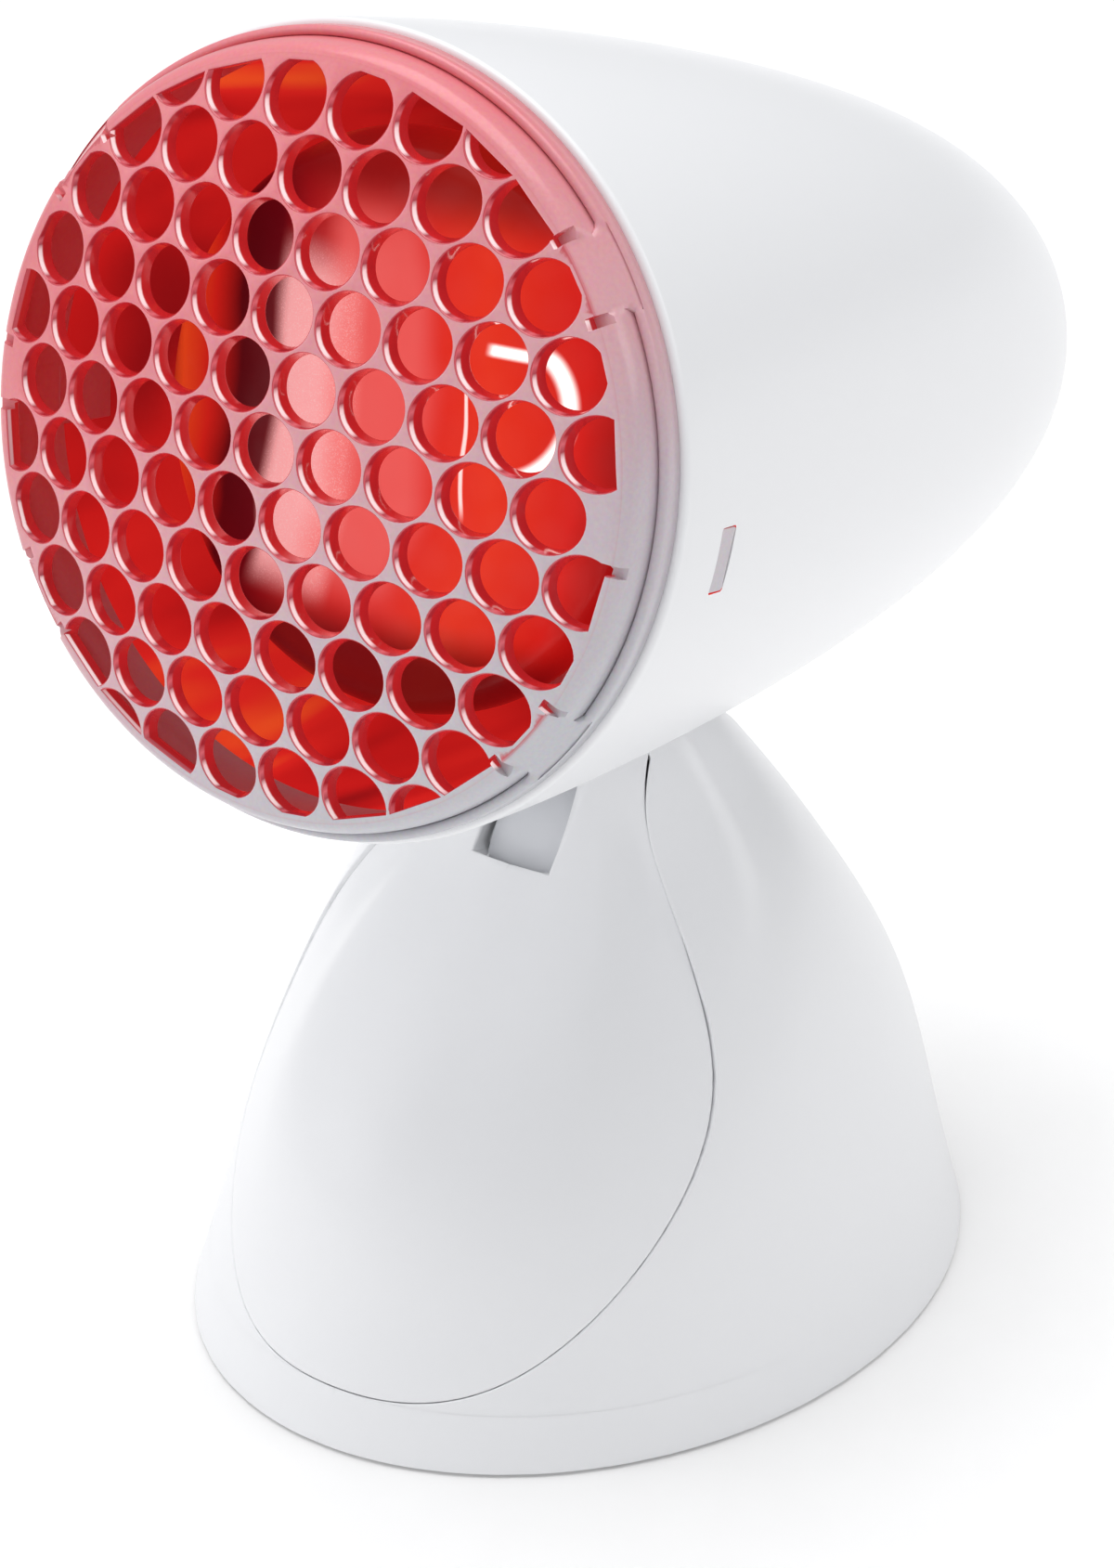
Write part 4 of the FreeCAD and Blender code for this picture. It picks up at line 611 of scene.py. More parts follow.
ARM_DEPTH = 20.0
MOUTH_CLEARANCE = 0.6
MOUTH_CORNER = 1.2
MOUTH_TOP = -40.0
VENTS = 5
VENT_WIDTH = 2.6
VENT_PITCH = 6.4
VENT_DROP = 14.0
VENT_FIELD, VENT_MARGIN = 30.0, 8.0
VENT_OUTSIDE, VENT_INSIDE = 10, 40
# Painted red light of the bulb on the white lining: the stretch and tones of its bands, and where the painted glow
# fades to painted shade towards the tail.
LINING_STRETCH = (60.0, 9.0, 22.0)
LINING_PAINTED_LIGHT_BANDS = ((0.30, (0.20, 0.004, 0.006)), (0.46, (0.46, 0.010, 0.010)), (0.60, (0.58, 0.018, 0.014)),
                (0.72, (0.70, 0.085, 0.016)))
LINING_DARK, LINING_LIT = 130.0, 80.0
LINING_GLOW = (0.015, 0.75)
INSIDE_MARGIN = 0.2


def in_head(points):
    """Points of the head's own frame, placed in the lamp's frame."""
    return np.asarray(points) @ HEAD_AXES + HEAD_ORIGIN


def turned(profile, count):
    """A profile of (radius, height) turned about the head's axis."""
    profile = np.asarray(profile, float)
    angle = np.linspace(0.0, 2 * np.pi, count, endpoint=False)
    x = profile[:, :1] * np.cos(angle)
    y = profile[:, :1] * np.sin(angle)
    return np.stack([x, y, profile[:, 1:] + 0 * angle], -1)


def rounded_prism(across, along, corner, low, high, count=5):
    """A bar of rounded rectangular section in X and Y, from one Z to another, with its faces."""
    turn = np.linspace(0.0, np.pi / 2, count)
    quarter = np.stack([np.cos(turn), np.sin(turn)], -1) * corner
    centres = np.array([(1, 1), (-1, 1), (-1, -1), (1, -1)]) * (across / 2 - corner, along / 2 - corner)
    turns = np.array([[(1, 0), (0, 1)], [(0, 1), (-1, 0)], [(-1, 0), (0, -1)], [(0, -1), (1, 0)]], float)
    ring = np.concatenate([centres[i] + quarter @ turns[i] for i in range(4)])
    bottom = np.concatenate([ring, np.full((len(ring), 1), low)], 1)
    top = np.concatenate([ring, np.full((len(ring), 1), high)], 1)
    sides = grid_faces(2, len(ring), around=True).tolist()
    ends = [list(range(len(ring)))[::-1], [i + len(ring) for i in range(len(ring))]]
    return np.concatenate([bottom, top]), sides + ends


def shaper(name, points, faces):
    """A closed form of the head's frame that only shapes another piece."""
    form = bpy.data.objects.new(name, closed_mesh(name, in_head(points), faces, 1e-9))
    bpy.context.scene.collection.objects.link(form)
    return form


def shaped(made, forms, operation, sharp=38.0):
    """A piece cut by, or joined with, each of several forms, which are then removed."""
    for form in forms:
        step = made.modifiers.new(form.name, "BOOLEAN")
        step.operation = operation
        step.solver = "MANIFOLD"
        step.object = form
    bpy.context.view_layer.update()
    view = bpy.context.evaluated_depsgraph_get()
    mesh = bpy.data.meshes.new_from_object(made.evaluated_get(view))
    material = made.data.materials[0]
    mesh.materials.clear()
    mesh.materials.append(material)
    mesh.polygons.foreach_set("material_index", np.zeros(len(mesh.polygons), np.int32))
    made.modifiers.clear()
    made.data = mesh
    for form in forms:
        bpy.data.objects.remove(form)
    finish_shading(made, sharp)


def spun(points, degrees):
    """Points of the head's frame turned about its axis."""
    c, s = math.cos(math.radians(degrees)), math.sin(math.radians(degrees))
    return points @ np.array([[c, s, 0.0], [-s, c, 0.0], [0.0, 0.0, 1.0]])


def at_latch(points):
    """A bar drawn upright, laid outwards through the housing's side at the latches' setback."""
    return points[:, [2, 1, 0]] * (1, 1, -1) - (0, 0, LATCH_SETBACK)


def housing_profile(inset, count):
    """The bullet's side: radius and setback on a superellipse, taken in square to itself."""
    turn = np.linspace(0.0, np.pi / 2, count)
    radius = HOUSING_RADIUS * np.cos(turn) ** (2 / HOUSING_FULLNESS)
    back = HOUSING_LENGTH * np.sin(turn) ** (2 / HOUSING_TAPER)
    radius[-1] = 0.0
    out = HOUSING_FULLNESS / HOUSING_RADIUS * (radius / HOUSING_RADIUS) ** (HOUSING_FULLNESS - 1)
    rear = HOUSING_TAPER / HOUSING_LENGTH * (back / HOUSING_LENGTH) ** (HOUSING_TAPER - 1)
    size = np.hypot(out, rear)
    side = np.stack([radius - inset * out / size, -LIP_SETBACK - back - inset * -rear / size], -1)
    side[-1, 0] = 0.0
    return side


def quarter_round(centre, radius, start, end, count=6):
    """Points of an arc about a centre, between two angles in degrees."""
    turn = np.radians(np.linspace(start, end, count))
    return np.stack([centre[0] + radius * np.cos(turn), centre[1] + radius * np.sin(turn)], -1)


outside = housing_profile(0.0, HOUSING_ROWS)
lip_middle = (HOUSING_RADIUS - LIP_ROUNDING, -LIP_SETBACK - LIP_ROUNDING)
start = int(np.argmax(outside[:, 1] < lip_middle[1]))
lip_inner = (HOUSING_RADIUS - HOUSING_WALL, -LIP_SETBACK)
profile = np.concatenate([[lip_inner], quarter_round(lip_middle, LIP_ROUNDING, 90, 0), outside[start:],
                          housing_profile(HOUSING_WALL, INSIDE_ROWS)[::-1][:-1]])
housing_faces = grid_faces(len(profile), HOUSING_POINTS, around=True)
first = np.arange(HOUSING_POINTS)
last = first + (len(profile) - 1) * HOUSING_POINTS
lip_faces = np.stack([last, np.roll(last, -1), np.roll(first, -1), first], -1)
housing = piece(closed_mesh("housing", in_head(turned(profile, HOUSING_POINTS)),
                            np.concatenate([housing_faces, lip_faces])),
                white_shell, "head", "head_housing")

cuts = []
for side_angle in LATCH_ANGLES:
    points, faces = rounded_prism(LATCH_HEIGHT, LATCH_LENGTH, LATCH_CORNER, HOUSING_RADIUS - SLOT_INSIDE,
                                  HOUSING_RADIUS + SLOT_OUTSIDE)
    cuts.append(shaper("latch_slot", spun(at_latch(points), side_angle), faces))
points, faces = rounded_prism(2 * ARM_HALF + MOUTH_CLEARANCE, ARM_DEPTH + MOUTH_CLEARANCE, MOUTH_CORNER,
                              -HEAD_RISE, MOUTH_TOP)
cuts.append(shaper("arm_mouth", points[:, [0, 2, 1]] - (0, 0, HEAD_REACH), faces))
for i in range(VENTS):
    row = i - VENTS // 2
    length = 2 * (math.sqrt(VENT_FIELD ** 2 - (row * VENT_PITCH) ** 2) - VENT_MARGIN)
    tail = -LIP_SETBACK - HOUSING_LENGTH
    points, faces = rounded_prism(length, VENT_WIDTH, VENT_WIDTH * 0.49, tail - VENT_OUTSIDE,
                                  tail + VENT_INSIDE)
    cuts.append(shaper("vent", points + (0, row * VENT_PITCH - VENT_DROP, 0), faces))
shaped(housing, cuts, "DIFFERENCE")


def lit_lining():
    """The inside of the white housing, painted with the red bulb's light: painted crimson with long painted bands
    of dark red and orange, glowing, and painted darker towards the tail as shade.
    """
    material, tree, where = new_material("lit_lining")
    stretched = add(tree, "ShaderNodeMapping", Vector=where, Scale=LINING_STRETCH).outputs["Vector"]
    bands = noise(tree, stretched, 1.0, Detail=2.0, Distortion=0.4)
    tone = ramp(tree, bands, LINING_PAINTED_LIGHT_BANDS)
    # Painted glow, fading to painted shade towards the tail.
    crown_ahead = float(HEAD_ORIGIN @ FORWARD)
    glow = ranged(tree, reach_along(tree, where, FORWARD), (crown_ahead - LINING_DARK) * MM,
                  (crown_ahead - LINING_LIT) * MM, *LINING_GLOW)
    shade(tree, Base_Color=tone, Emission_Color=tone, Emission_Strength=glow, Roughness=0.45)
    return material


# The inside faces take the painted red light and glow; the outside keeps the white shell.
housing.data.materials.append(lit_lining())
place = np.zeros(3 * len(housing.data.polygons))
facing = np.zeros(3 * len(housing.data.polygons))
housing.data.polygons.foreach_get("center", place)
housing.data.polygons.foreach_get("normal", facing)
head_place = (place.reshape(-1, 3) / MM - HEAD_ORIGIN) @ HEAD_AXES.T
head_facing = facing.reshape(-1, 3) @ HEAD_AXES.T
inside_faces = (head_place[:, :2] * head_facing[:, :2]).sum(1) < -INSIDE_MARGIN
inside_faces &= head_place[:, 2] < -LIP_SETBACK - INSIDE_MARGIN
housing.data.polygons.foreach_set("material_index", inside_faces.astype(np.int32))


# Tilting arm: moulded plastic drawn a pale grey, darker than the white shells; a flat round knuckle on the
# tilt bolt and a neck into the head. It keeps the shape of the construction, with its edges rounded.
ARM_GREY = (0.72, 0.73, 0.76)
ARM_ROUNDING = 0.5
arm_grey = shell_plastic("grey_arm", ARM_GREY, 0.38)
arm_mesh = frame["nodes"]["tilt_arm"].data.copy()
arm_mesh.name = "arm"
tidy = bmesh.new()
tidy.from_mesh(arm_mesh)
bmesh.ops.remove_doubles(tidy, verts=tidy.verts, dist=1e-6)
bmesh.ops.dissolve_limit(tidy, angle_limit=math.radians(1.0), verts=tidy.verts, edges=tidy.edges)
tidy.to_mesh(arm_mesh)
tidy.free()
arm = piece(arm_mesh, arm_grey, "head", "tilt_arm", 30)
edges = arm.modifiers.new("edges", "BEVEL")
edges.width = ARM_ROUNDING * MM
edges.segments = 2
edges.limit_method = "ANGLE"
edges.angle_limit = math.radians(40)


# Guard: one clear moulding, frosted on its face and polished in its holes. A shallow dome with a honeycomb of
# tapered holes, a rolled edge with a bead around it, and slits that free its snap tongues. The red bulb's
# light behind it is painted into its colour: a painted pink at the top and left that fades to the plastic's
# silver at the lower right.
DOME_FALL = 0.0025
GUARD_THICKNESS = 3.2
FIELD_EDGE = 59.8
HOLE_FIELD = 58.9
HOLE_PITCH = 12.3
HOLE_FRONT = 5.75
HOLE_THROAT = 5.3
LATTICE_ROWS = (9, 10, 9, 8, 7, 6)
HOLE_POINTS = 44
BAND_POINTS = 480
FRONT_LIP = 0.33
BACK_LIP = 0.3
FLANGE_RADIUS = 64.0
BEAD_VALLEY = 62.3
BEAD_HEIGHT = -15.3
BEAD_SINK = 0.4
KNEE_OUT, KNEE_DOWN = 2.6, 0.6
TONGUE_SINK = 0.9
SEAT = -18.9
SPIGOT_RADIUS = 62.3
SPIGOT_INNER = 60.6
SPIGOT_FOOT = -24.9
SPIGOT_CORNER = 0.3
SLIT_ANGLES = (30.0, 43.0, -30.0, -43.0, 137.0, 150.0, -137.0, -150.0, 176.0)
SLIT_WIDTH = 1.9
SLIT_DEPTH = 2.0
SLIT_LENGTH = 5.8
SLIT_OVERRUN = 3.0
SLIT_CORNER = 0.2
TONGUES = (36.5, -36.5, 143.5, -143.5)
TONGUE_HALF = 6.5
TONGUE_EDGE = 0.6
LATCH_WIDTH = 10.4
LEG_WALL = 1.8
LEG_MIDDLE = 61.2
LEG_FOOT = -36.8
LEG_CORNER = 0.4
LEG_OVERLAP = 1.0
NOSE_GAP = 0.5
NOSE_END = 64.2
# Painted light of the bulb on the face: the way and span of its painted pink, and its tones out to the plastic's
# silver.
PINK_SIDE, PINK_TOP = -0.42, 0.55
PINK_SPAN, PINK_MIDDLE = 60.0, 0.66
SHADE_RADIUS = 40.0
PAINTED_BULB_LIGHT_TONES = ((0.0, (0.60, 0.60, 0.64)), (0.28, (0.64, 0.55, 0.60)), (0.55, (0.76, 0.42, 0.46)),
              (1.0, (0.84, 0.23, 0.26)))
# Painted shade and one painted glint on the hole walls, by the way they face; the bulb's red painted deep in the
# holes; painted dark red at the lips; and a painted glow of the walls.
WALL_PAINTED_LIGHT_TONES = ((0.0, (0.36, 0.02, 0.03)), (0.55, (0.30, 0.02, 0.03)), (0.74, (0.60, 0.16, 0.19)),
              (0.86, (0.34, 0.07, 0.09)), (0.93, (0.88, 0.74, 0.76)), (0.985, (0.95, 0.90, 0.90)),
              (1.0, (0.72, 0.46, 0.49)))
GLINT_SIDE, GLINT_TOP = 0.80, 0.60
BULB_THROUGH = (0.42, 0.018, 0.022)
THROUGH_FROM, THROUGH_TO = 0.9, 1.3
LIP_PAINTED_RED = (0.46, 0.05, 0.07)
WALL_GLOW = 0.5
LIP_FACING, WEB_FACING = (0.15, 0.55), (0.80, 0.97)
EDGE_BLEND = 0.3


def dome(radius):
    """The guard's face at a radius."""
    return -DOME_FALL * radius ** 2


def hole_centres():
    """Centres of the honeycomb, row by row."""
    rows = [np.stack([(np.arange(count) - (count - 1) / 2) * HOLE_PITCH,
                      np.full(count, row * HOLE_PITCH * math.sqrt(3) / 2)], -1)
            for row in range(-5, 6) for count in [LATTICE_ROWS[abs(row)]]]
    return np.concatenate(rows)


def hole_rings(centres, radius, lip, depth):
    """A ring of points in each hole: a circle cut straight where it would leave the field, at a depth.

    Each ring is walked about the middle of what is left of its circle, and two of its points are the corners
    where circle and cut meet.
    """
    size = radius + lip
    reach = np.linalg.norm(centres, axis=1)[:, None]
    outward = np.arctan2(centres[:, 1], centres[:, 0])[:, None]
    cut = np.minimum(HOLE_FIELD + lip - reach, size)
    inward = (cut - size) / 2
    corner = np.arctan2(np.sqrt(size ** 2 - cut ** 2), cut - inward)
    step = 2 * np.pi / HOLE_POINTS
    nearest = np.maximum(np.round(corner / step), 1) * step
    corner = np.where(cut < size, corner, nearest)
    turn = np.linspace(-np.pi, np.pi, HOLE_POINTS, endpoint=False)[None, :]
    beyond = corner + (np.abs(turn) - nearest) * (np.pi - corner) / (np.pi - nearest)
    turn = np.sign(turn) * np.where(np.abs(turn) <= nearest + 1e-9, np.abs(turn) * corner / nearest, beyond)
    to_circle = np.sqrt(size ** 2 - (inward * np.sin(turn)) ** 2) - inward * np.cos(turn)
    to_cut = np.where(np.cos(turn) > 1e-3, (cut - inward) / np.maximum(np.cos(turn), 1e-3), np.inf)
    length = np.minimum(to_circle, np.where(cut < size, to_cut, np.inf))
    along = inward + length * np.cos(turn)
    aside = length * np.sin(turn)
    x = centres[:, :1] + along * np.cos(outward) - aside * np.sin(outward)
    y = centres[:, 1:] + along * np.sin(outward) + aside * np.cos(outward)
    return np.stack([x, y, dome(np.hypot(x, y)) - depth], -1)


def combine(tree, operation, first, second=0.0, **settings):
    """The value of a sum, product or other step of two sockets or numbers."""
    node = add(tree, "ShaderNodeMath", operation=operation, **settings)
    feed(tree, node.inputs[0], first)
    feed(tree, node.inputs[1], second)
    return node.outputs["Value"]


def times(tree, first, *others):
    """The product of several sockets or numbers."""
    for other in others:
        first = combine(tree, "MULTIPLY", first, other)
    return first


def mixed(tree, share, first, second, **settings):
    """One colour turned into another by a share; each colour is a triple or a socket."""
    first, second = [side + (1.0,) if isinstance(side, tuple) else side for side in (first, second)]
    return add(tree, "ShaderNodeMix", data_type="RGBA", Factor=share, A=first, B=second,
               **settings).outputs["Result"]


def off_point(tree, where, point):
    """A place in metres, measured from a point in millimetres."""
    node = add(tree, "ShaderNodeVectorMath", operation="SUBTRACT", Vector=where)
    node.inputs[1].default_value = tuple(point * MM)
    return node.outputs["Vector"]


def guard_material():
    """Clear plastic over a red bulb: a frosted, finely speckled face with the bulb's light painted on it, pink
    at the upper left fading to silver at the lower right; painted dark red lips around the holes; and polished
    walls with painted shade, one painted glint each and the bulb's red painted below it, glowing a little.
    """
    material, tree, where = new_material("clear_guard")
    # Painted pink of the bulb's light, by place across the face.
    to_pink = UPWARD * PINK_TOP + np.array([PINK_SIDE, 0.0, 0.0])
    centre = HEAD_ORIGIN + FORWARD * dome(SHADE_RADIUS)
    slide = reach_along(tree, where, to_pink / (PINK_SPAN * MM))
    share = combine(tree, "ADD", slide, PINK_MIDDLE - float(to_pink @ centre) / PINK_SPAN, use_clamp=True)
    speckle = noise(tree, where, 1500.0, Detail=2.0)
    face = mixed(tree, 0.30, ramp(tree, share, PAINTED_BULB_LIGHT_TONES), speckle.node.outputs["Color"],
                 blend_type="SOFT_LIGHT")
    outward = where.node.outputs["Normal"]
    # Painted glint and shade on the walls, by the way they face.
    glint = reach_along(tree, outward, np.array([GLINT_SIDE, 0.0, 0.0]) + UPWARD * GLINT_TOP)
    from_centre = off_point(tree, where, centre)
    sideways = add(tree, "ShaderNodeVectorMath", operation="CROSS_PRODUCT", Vector=from_centre)
    sideways.inputs[1].default_value = tuple(FORWARD)
    radius = add(tree, "ShaderNodeVectorMath", operation="LENGTH", Vector=sideways.outputs["Vector"])
    radius = radius.outputs["Value"]
    ahead = reach_along(tree, from_centre, FORWARD)
    fallen = times(tree, radius, radius, DOME_FALL / MM)
    depth = combine(tree, "SUBTRACT", combine(tree, "SUBTRACT", -dome(SHADE_RADIUS) * MM, ahead), fallen)
    # The bulb's red, painted deep in the holes.
    deep = ranged(tree, depth, THROUGH_FROM * MM, THROUGH_TO * MM, shape="SMOOTHSTEP")
    through = mixed(tree, deep, ramp(tree, glint, WALL_PAINTED_LIGHT_TONES), BULB_THROUGH)
    # Painted dark red at the lips.
    facing = reach_along(tree, outward, FORWARD)
    lip = mixed(tree, ranged(tree, facing, *LIP_FACING, shape="SMOOTHSTEP"), through, LIP_PAINTED_RED)
    web = ranged(tree, facing, *WEB_FACING, shape="SMOOTHSTEP")
    rolled_edge = ranged(tree, radius, (FIELD_EDGE - EDGE_BLEND) * MM, (FIELD_EDGE + EDGE_BLEND) * MM)
    on_face = combine(tree, "MAXIMUM", web, rolled_edge)
    # The walls glow with their painted colours.
    shade(tree, Base_Color=mixed(tree, on_face, lip, face),
          Transmission_Weight=ranged(tree, on_face, 0.0, 1.0, 0.30, 0.12),
          Roughness=ranged(tree, on_face, 0.0, 1.0, 0.10, 0.34), Normal=bumped(tree, speckle, 0.08),
          Emission_Color=through,
          Emission_Strength=times(tree, combine(tree, "SUBTRACT", 1.0, on_face), WALL_GLOW),
          IOR=1.49, Coat_Weight=0.35, Coat_Roughness=0.12)
    return material


centres = hole_centres()
lip_turn = np.radians(np.linspace(0.0, 90.0, 4))
ring_sizes = [(HOLE_FRONT, FRONT_LIP * (1 - math.sin(a)), FRONT_LIP * (1 - math.cos(a))) for a in lip_turn]
ring_sizes += [(HOLE_THROAT, BACK_LIP * (1 - math.cos(a)), GUARD_THICKNESS - BACK_LIP * (1 - math.sin(a)))
               for a in lip_turn]
rings = np.stack([hole_rings(centres, *size) for size in ring_sizes], 1)
circle = np.linspace(0.0, 2 * np.pi, BAND_POINTS, endpoint=False)
border = np.stack([FIELD_EDGE * np.cos(circle), FIELD_EDGE * np.sin(circle)], -1)

flat_points = np.concatenate([border, rings[:, 0, :, :2].reshape(-1, 2)])
loops = [np.arange(BAND_POINTS)]
loops += [BAND_POINTS + i * HOLE_POINTS + np.arange(HOLE_POINTS) for i in range(len(centres))]
edges = np.concatenate([np.stack([loop, np.roll(loop, -1)], -1) for loop in loops])
web = geometry.delaunay_2d_cdt([Vector(p) for p in flat_points.tolist()], edges.tolist(), [], 0, 1e-5)
origin = np.array([source[0] for source in web[3]])
web_faces = origin[np.array(web[2])]
owner = np.where(web_faces < BAND_POINTS, -1, (web_faces - BAND_POINTS) // HOLE_POINTS)
in_hole = (owner[:, 0] >= 0) & (owner[:, 0] == owner[:, 1]) & (owner[:, 0] == owner[:, 2])
web_faces = web_faces[~in_hole]

front_border = np.concatenate([border, np.full((BAND_POINTS, 1), dome(FIELD_EDGE))], 1)
back_border = front_border - (0, 0, GUARD_THICKNESS)
front_skin = np.concatenate([front_border, rings[:, 0].reshape(-1, 3)])
back_skin = np.concatenate([back_border, rings[:, -1].reshape(-1, 3)])
wall_block = np.concatenate([grid_faces(len(ring_sizes), HOLE_POINTS, around=True)
                             + i * len(ring_sizes) * HOLE_POINTS for i in range(len(centres))])

bead_low = BEAD_HEIGHT - BEAD_SINK
back_edge = dome(FIELD_EDGE) - GUARD_THICKNESS
fall = np.linspace(0.0, 1.0, 9)[:, None]
fall_start = np.array([FIELD_EDGE, dome(FIELD_EDGE)])
fall_knee = fall_start + (KNEE_OUT, -KNEE_DOWN)
fall_end = np.array([BEAD_VALLEY, bead_low])
fall_line = eased(fall_start, fall_knee, fall_end, fall)
bead_middle = ((BEAD_VALLEY + FLANGE_RADIUS) / 2, bead_low)
bead_line = quarter_round(bead_middle, (FLANGE_RADIUS - BEAD_VALLEY) / 2, 180, 0, 9)[1:]
side_line = [(FLANGE_RADIUS, SEAT + SPIGOT_CORNER), (FLANGE_RADIUS - SPIGOT_CORNER, SEAT),
             (SPIGOT_RADIUS, SEAT), (SPIGOT_RADIUS, SPIGOT_FOOT + SPIGOT_CORNER),
             (SPIGOT_RADIUS - SPIGOT_CORNER, SPIGOT_FOOT), (SPIGOT_INNER, SPIGOT_FOOT),
             (SPIGOT_INNER, dome(SPIGOT_INNER) - GUARD_THICKNESS - 1.0),
             (FIELD_EDGE + 0.4, back_edge - 0.1), (FIELD_EDGE, back_edge)]
band_line = np.concatenate([fall_line, bead_line, side_line])
band = turned(band_line, BAND_POINTS)
degrees = np.degrees(np.arctan2(band[..., 1], band[..., 0]))
tongue = sum(np.clip((TONGUE_HALF - np.abs((degrees - angle + 180) % 360 - 180)) / TONGUE_EDGE, 0, 1)
             for angle in TONGUES)
slope_height = np.interp(np.hypot(band[..., 0], band[..., 1]), [FIELD_EDGE, FLANGE_RADIUS],
                         [dome(FIELD_EDGE), BEAD_HEIGHT - TONGUE_SINK])
row = np.arange(len(band_line))[:, None]
on_face = (row > 0) & (row < len(fall_line) + len(bead_line) - 1)
band[..., 2] += tongue * on_face * (slope_height - band[..., 2])

starts = np.cumsum([len(front_skin), len(back_skin), rings.size // 3])
guard_points = np.concatenate([front_skin, back_skin, rings.reshape(-1, 3), band.reshape(-1, 3)])
guard_faces = web_faces.tolist() + (web_faces[:, ::-1] + starts[0]).tolist()
guard_faces += (wall_block + starts[1]).tolist()
guard_faces += (grid_faces(len(band_line), BAND_POINTS, around=True) + starts[2]).tolist()
guard = piece(closed_mesh("guard_moulding", in_head(guard_points), guard_faces), guard_material(), "head",
              "guard", 50.0)

slits = []
for angle in SLIT_ANGLES + LATCH_ANGLES[::-1]:
    points, faces = rounded_prism(SLIT_LENGTH + SLIT_OVERRUN, SLIT_WIDTH, SLIT_CORNER,
                                  dome(FIELD_EDGE) - SLIT_DEPTH, dome(FIELD_EDGE) + SLIT_OVERRUN)
    middle = FLANGE_RADIUS - SLIT_LENGTH / 2 + SLIT_OVERRUN / 2
    slits.append(shaper("slit", spun(points + (middle, 0, 0), angle), faces))
shaped(guard, slits, "DIFFERENCE", 50.0)

legs = []
for side_angle in LATCH_ANGLES:
    points, faces = rounded_prism(LEG_WALL, LATCH_WIDTH, LEG_CORNER, LEG_FOOT, SPIGOT_FOOT + LEG_OVERLAP)
    legs.append(shaper("latch_leg", spun(points + (LEG_MIDDLE, 0, 0), side_angle), faces))
    points, faces = rounded_prism(LATCH_HEIGHT - NOSE_GAP, LATCH_LENGTH - NOSE_GAP, LEG_CORNER, LEG_MIDDLE,
                                  NOSE_END)
    legs.append(shaper("latch_nose", spun(at_latch(points), side_angle), faces))
shaped(guard, legs, "UNION", 50.0)


# Bulb: a 95 mm reflector bulb of ruby glass. Its face is clear red glass; behind the rim the cup is mirrored.
# The marks on the face are a middle, a half width and a blur in millimetres, across and then up.
BULB_FACE = -25.0
BULB_RIM = 47.5
BULB_GLASS = 1.1
FACE_RADIUS = 43.5
FACE_FALL = 9.5
RIM_FALL = 15.5
CUP_FALL = 55.0
CUP_RADIUS = 34.5
NECK_FALL = 92.0
NECK_RADIUS = 15.0
NECK_END_FALL = 110.0
BULB_POINTS = 160
GLASS_BEND = 0.007
GLASS_SHAKE = 9.0
GLASS_HALF = 50.0
# Painted light thrown back by the mirror: the glass's crimson crossed by painted orange and maroon bands.
PAINTED_MIRROR_BANDS = ((0.02, (0.16, 0.002, 0.003)), (0.07, (0.60, 0.055, 0.010)), (0.15, (0.46, 0.012, 0.008)),
               (0.22, (0.060, 0.001, 0.003)), (0.30, (0.085, 0.001, 0.004)), (0.37, (0.28, 0.006, 0.009)),
               (0.47, (0.50, 0.022, 0.020)), (0.60, (0.56, 0.016, 0.012)), (0.74, (0.64, 0.030, 0.010)),
               (0.88, (0.56, 0.012, 0.008)), (0.98, (0.20, 0.002, 0.004)))
# A painted reflection: a pale pink patch with painted grains, and a paler painted red zone.
PATCH = ((-9.5, 6.0, 4.5), (-2.0, 22.0, 9.0))
PAINTED_REFLECTION_PINK = (0.80, 0.40, 0.40)
PALE = ((3.0, 6.0, 7.0), (4.0, 24.0, 12.0))
PALE_RED = (0.70, 0.12, 0.11)
PAINTED_REFLECTION_GRAIN = (0.92, 0.62, 0.60)
# Painted maroon shade at the bottom and top of the face.
LOW_END = (-52.0, 15.0, 10.0)
LOW_PAINTED_SHADE = (0.075, 0.001, 0.003)
HIGH_END = (54.0, 14.0, 9.0)
HIGH_PAINTED_SHADE = (0.14, 0.003, 0.004)
# Painted highlights: thin lines, a curved glare and a bar of near white.
LINE = ((19.0, 0.15, 0.35), (2.0, 9.0, 4.0))
GLARE_MIDDLE = (23.5, 8.5)
GLARE_RING = (11.3, 0.5, 1.4)
GLARE = ((34.0, 5.5, 3.0), (8.0, 9.5, 2.5))
BAR = ((25.0, 3.5, 1.8), (17.3, 0.4, 0.9))
GLARE_WHITE = (1.0, 0.93, 0.88)
CUP_RUBY = (0.16, 0.006, 0.008)


def bulb_profile(inset):
    """Face, rounded rim, mirrored cup and neck, taken in by an amount."""
    share = np.linspace(0.0, 1.0, 30)
    face = np.stack([(FACE_RADIUS - inset * 0.6) * share,
                     BULB_FACE - inset - (FACE_FALL - inset * 0.2) * share ** 2.2], -1)
    turn = np.radians(np.linspace(0.0, 90.0, 12))[1:]
    rim_height = RIM_FALL - FACE_FALL
    rim = np.stack([FACE_RADIUS - inset + (BULB_RIM - FACE_RADIUS) * np.sin(turn),
                    BULB_FACE - FACE_FALL - inset * 0.8 * np.cos(turn) - rim_height * (1 - np.cos(turn))], -1)
    cup_knots = (RIM_FALL, CUP_FALL, NECK_FALL)
    cup_radii = (BULB_RIM - inset, CUP_RADIUS - inset, NECK_RADIUS - inset)
    fall = np.linspace(RIM_FALL, NECK_FALL, 40)[1:]
    cup = np.stack([spline(cup_knots, cup_radii)(fall), BULB_FACE - fall], -1)
    end = [[NECK_RADIUS - inset, BULB_FACE - NECK_END_FALL]]
    return np.concatenate([face, rim, cup, end])


def soft_band(tree, value, middle, half, blur):
    """One within half of the middle, nothing beyond half and blur."""
    away = combine(tree, "ABSOLUTE", combine(tree, "SUBTRACT", value, middle))
    return ranged(tree, away, half, half + blur, 1.0, 0.0, "SMOOTHSTEP")


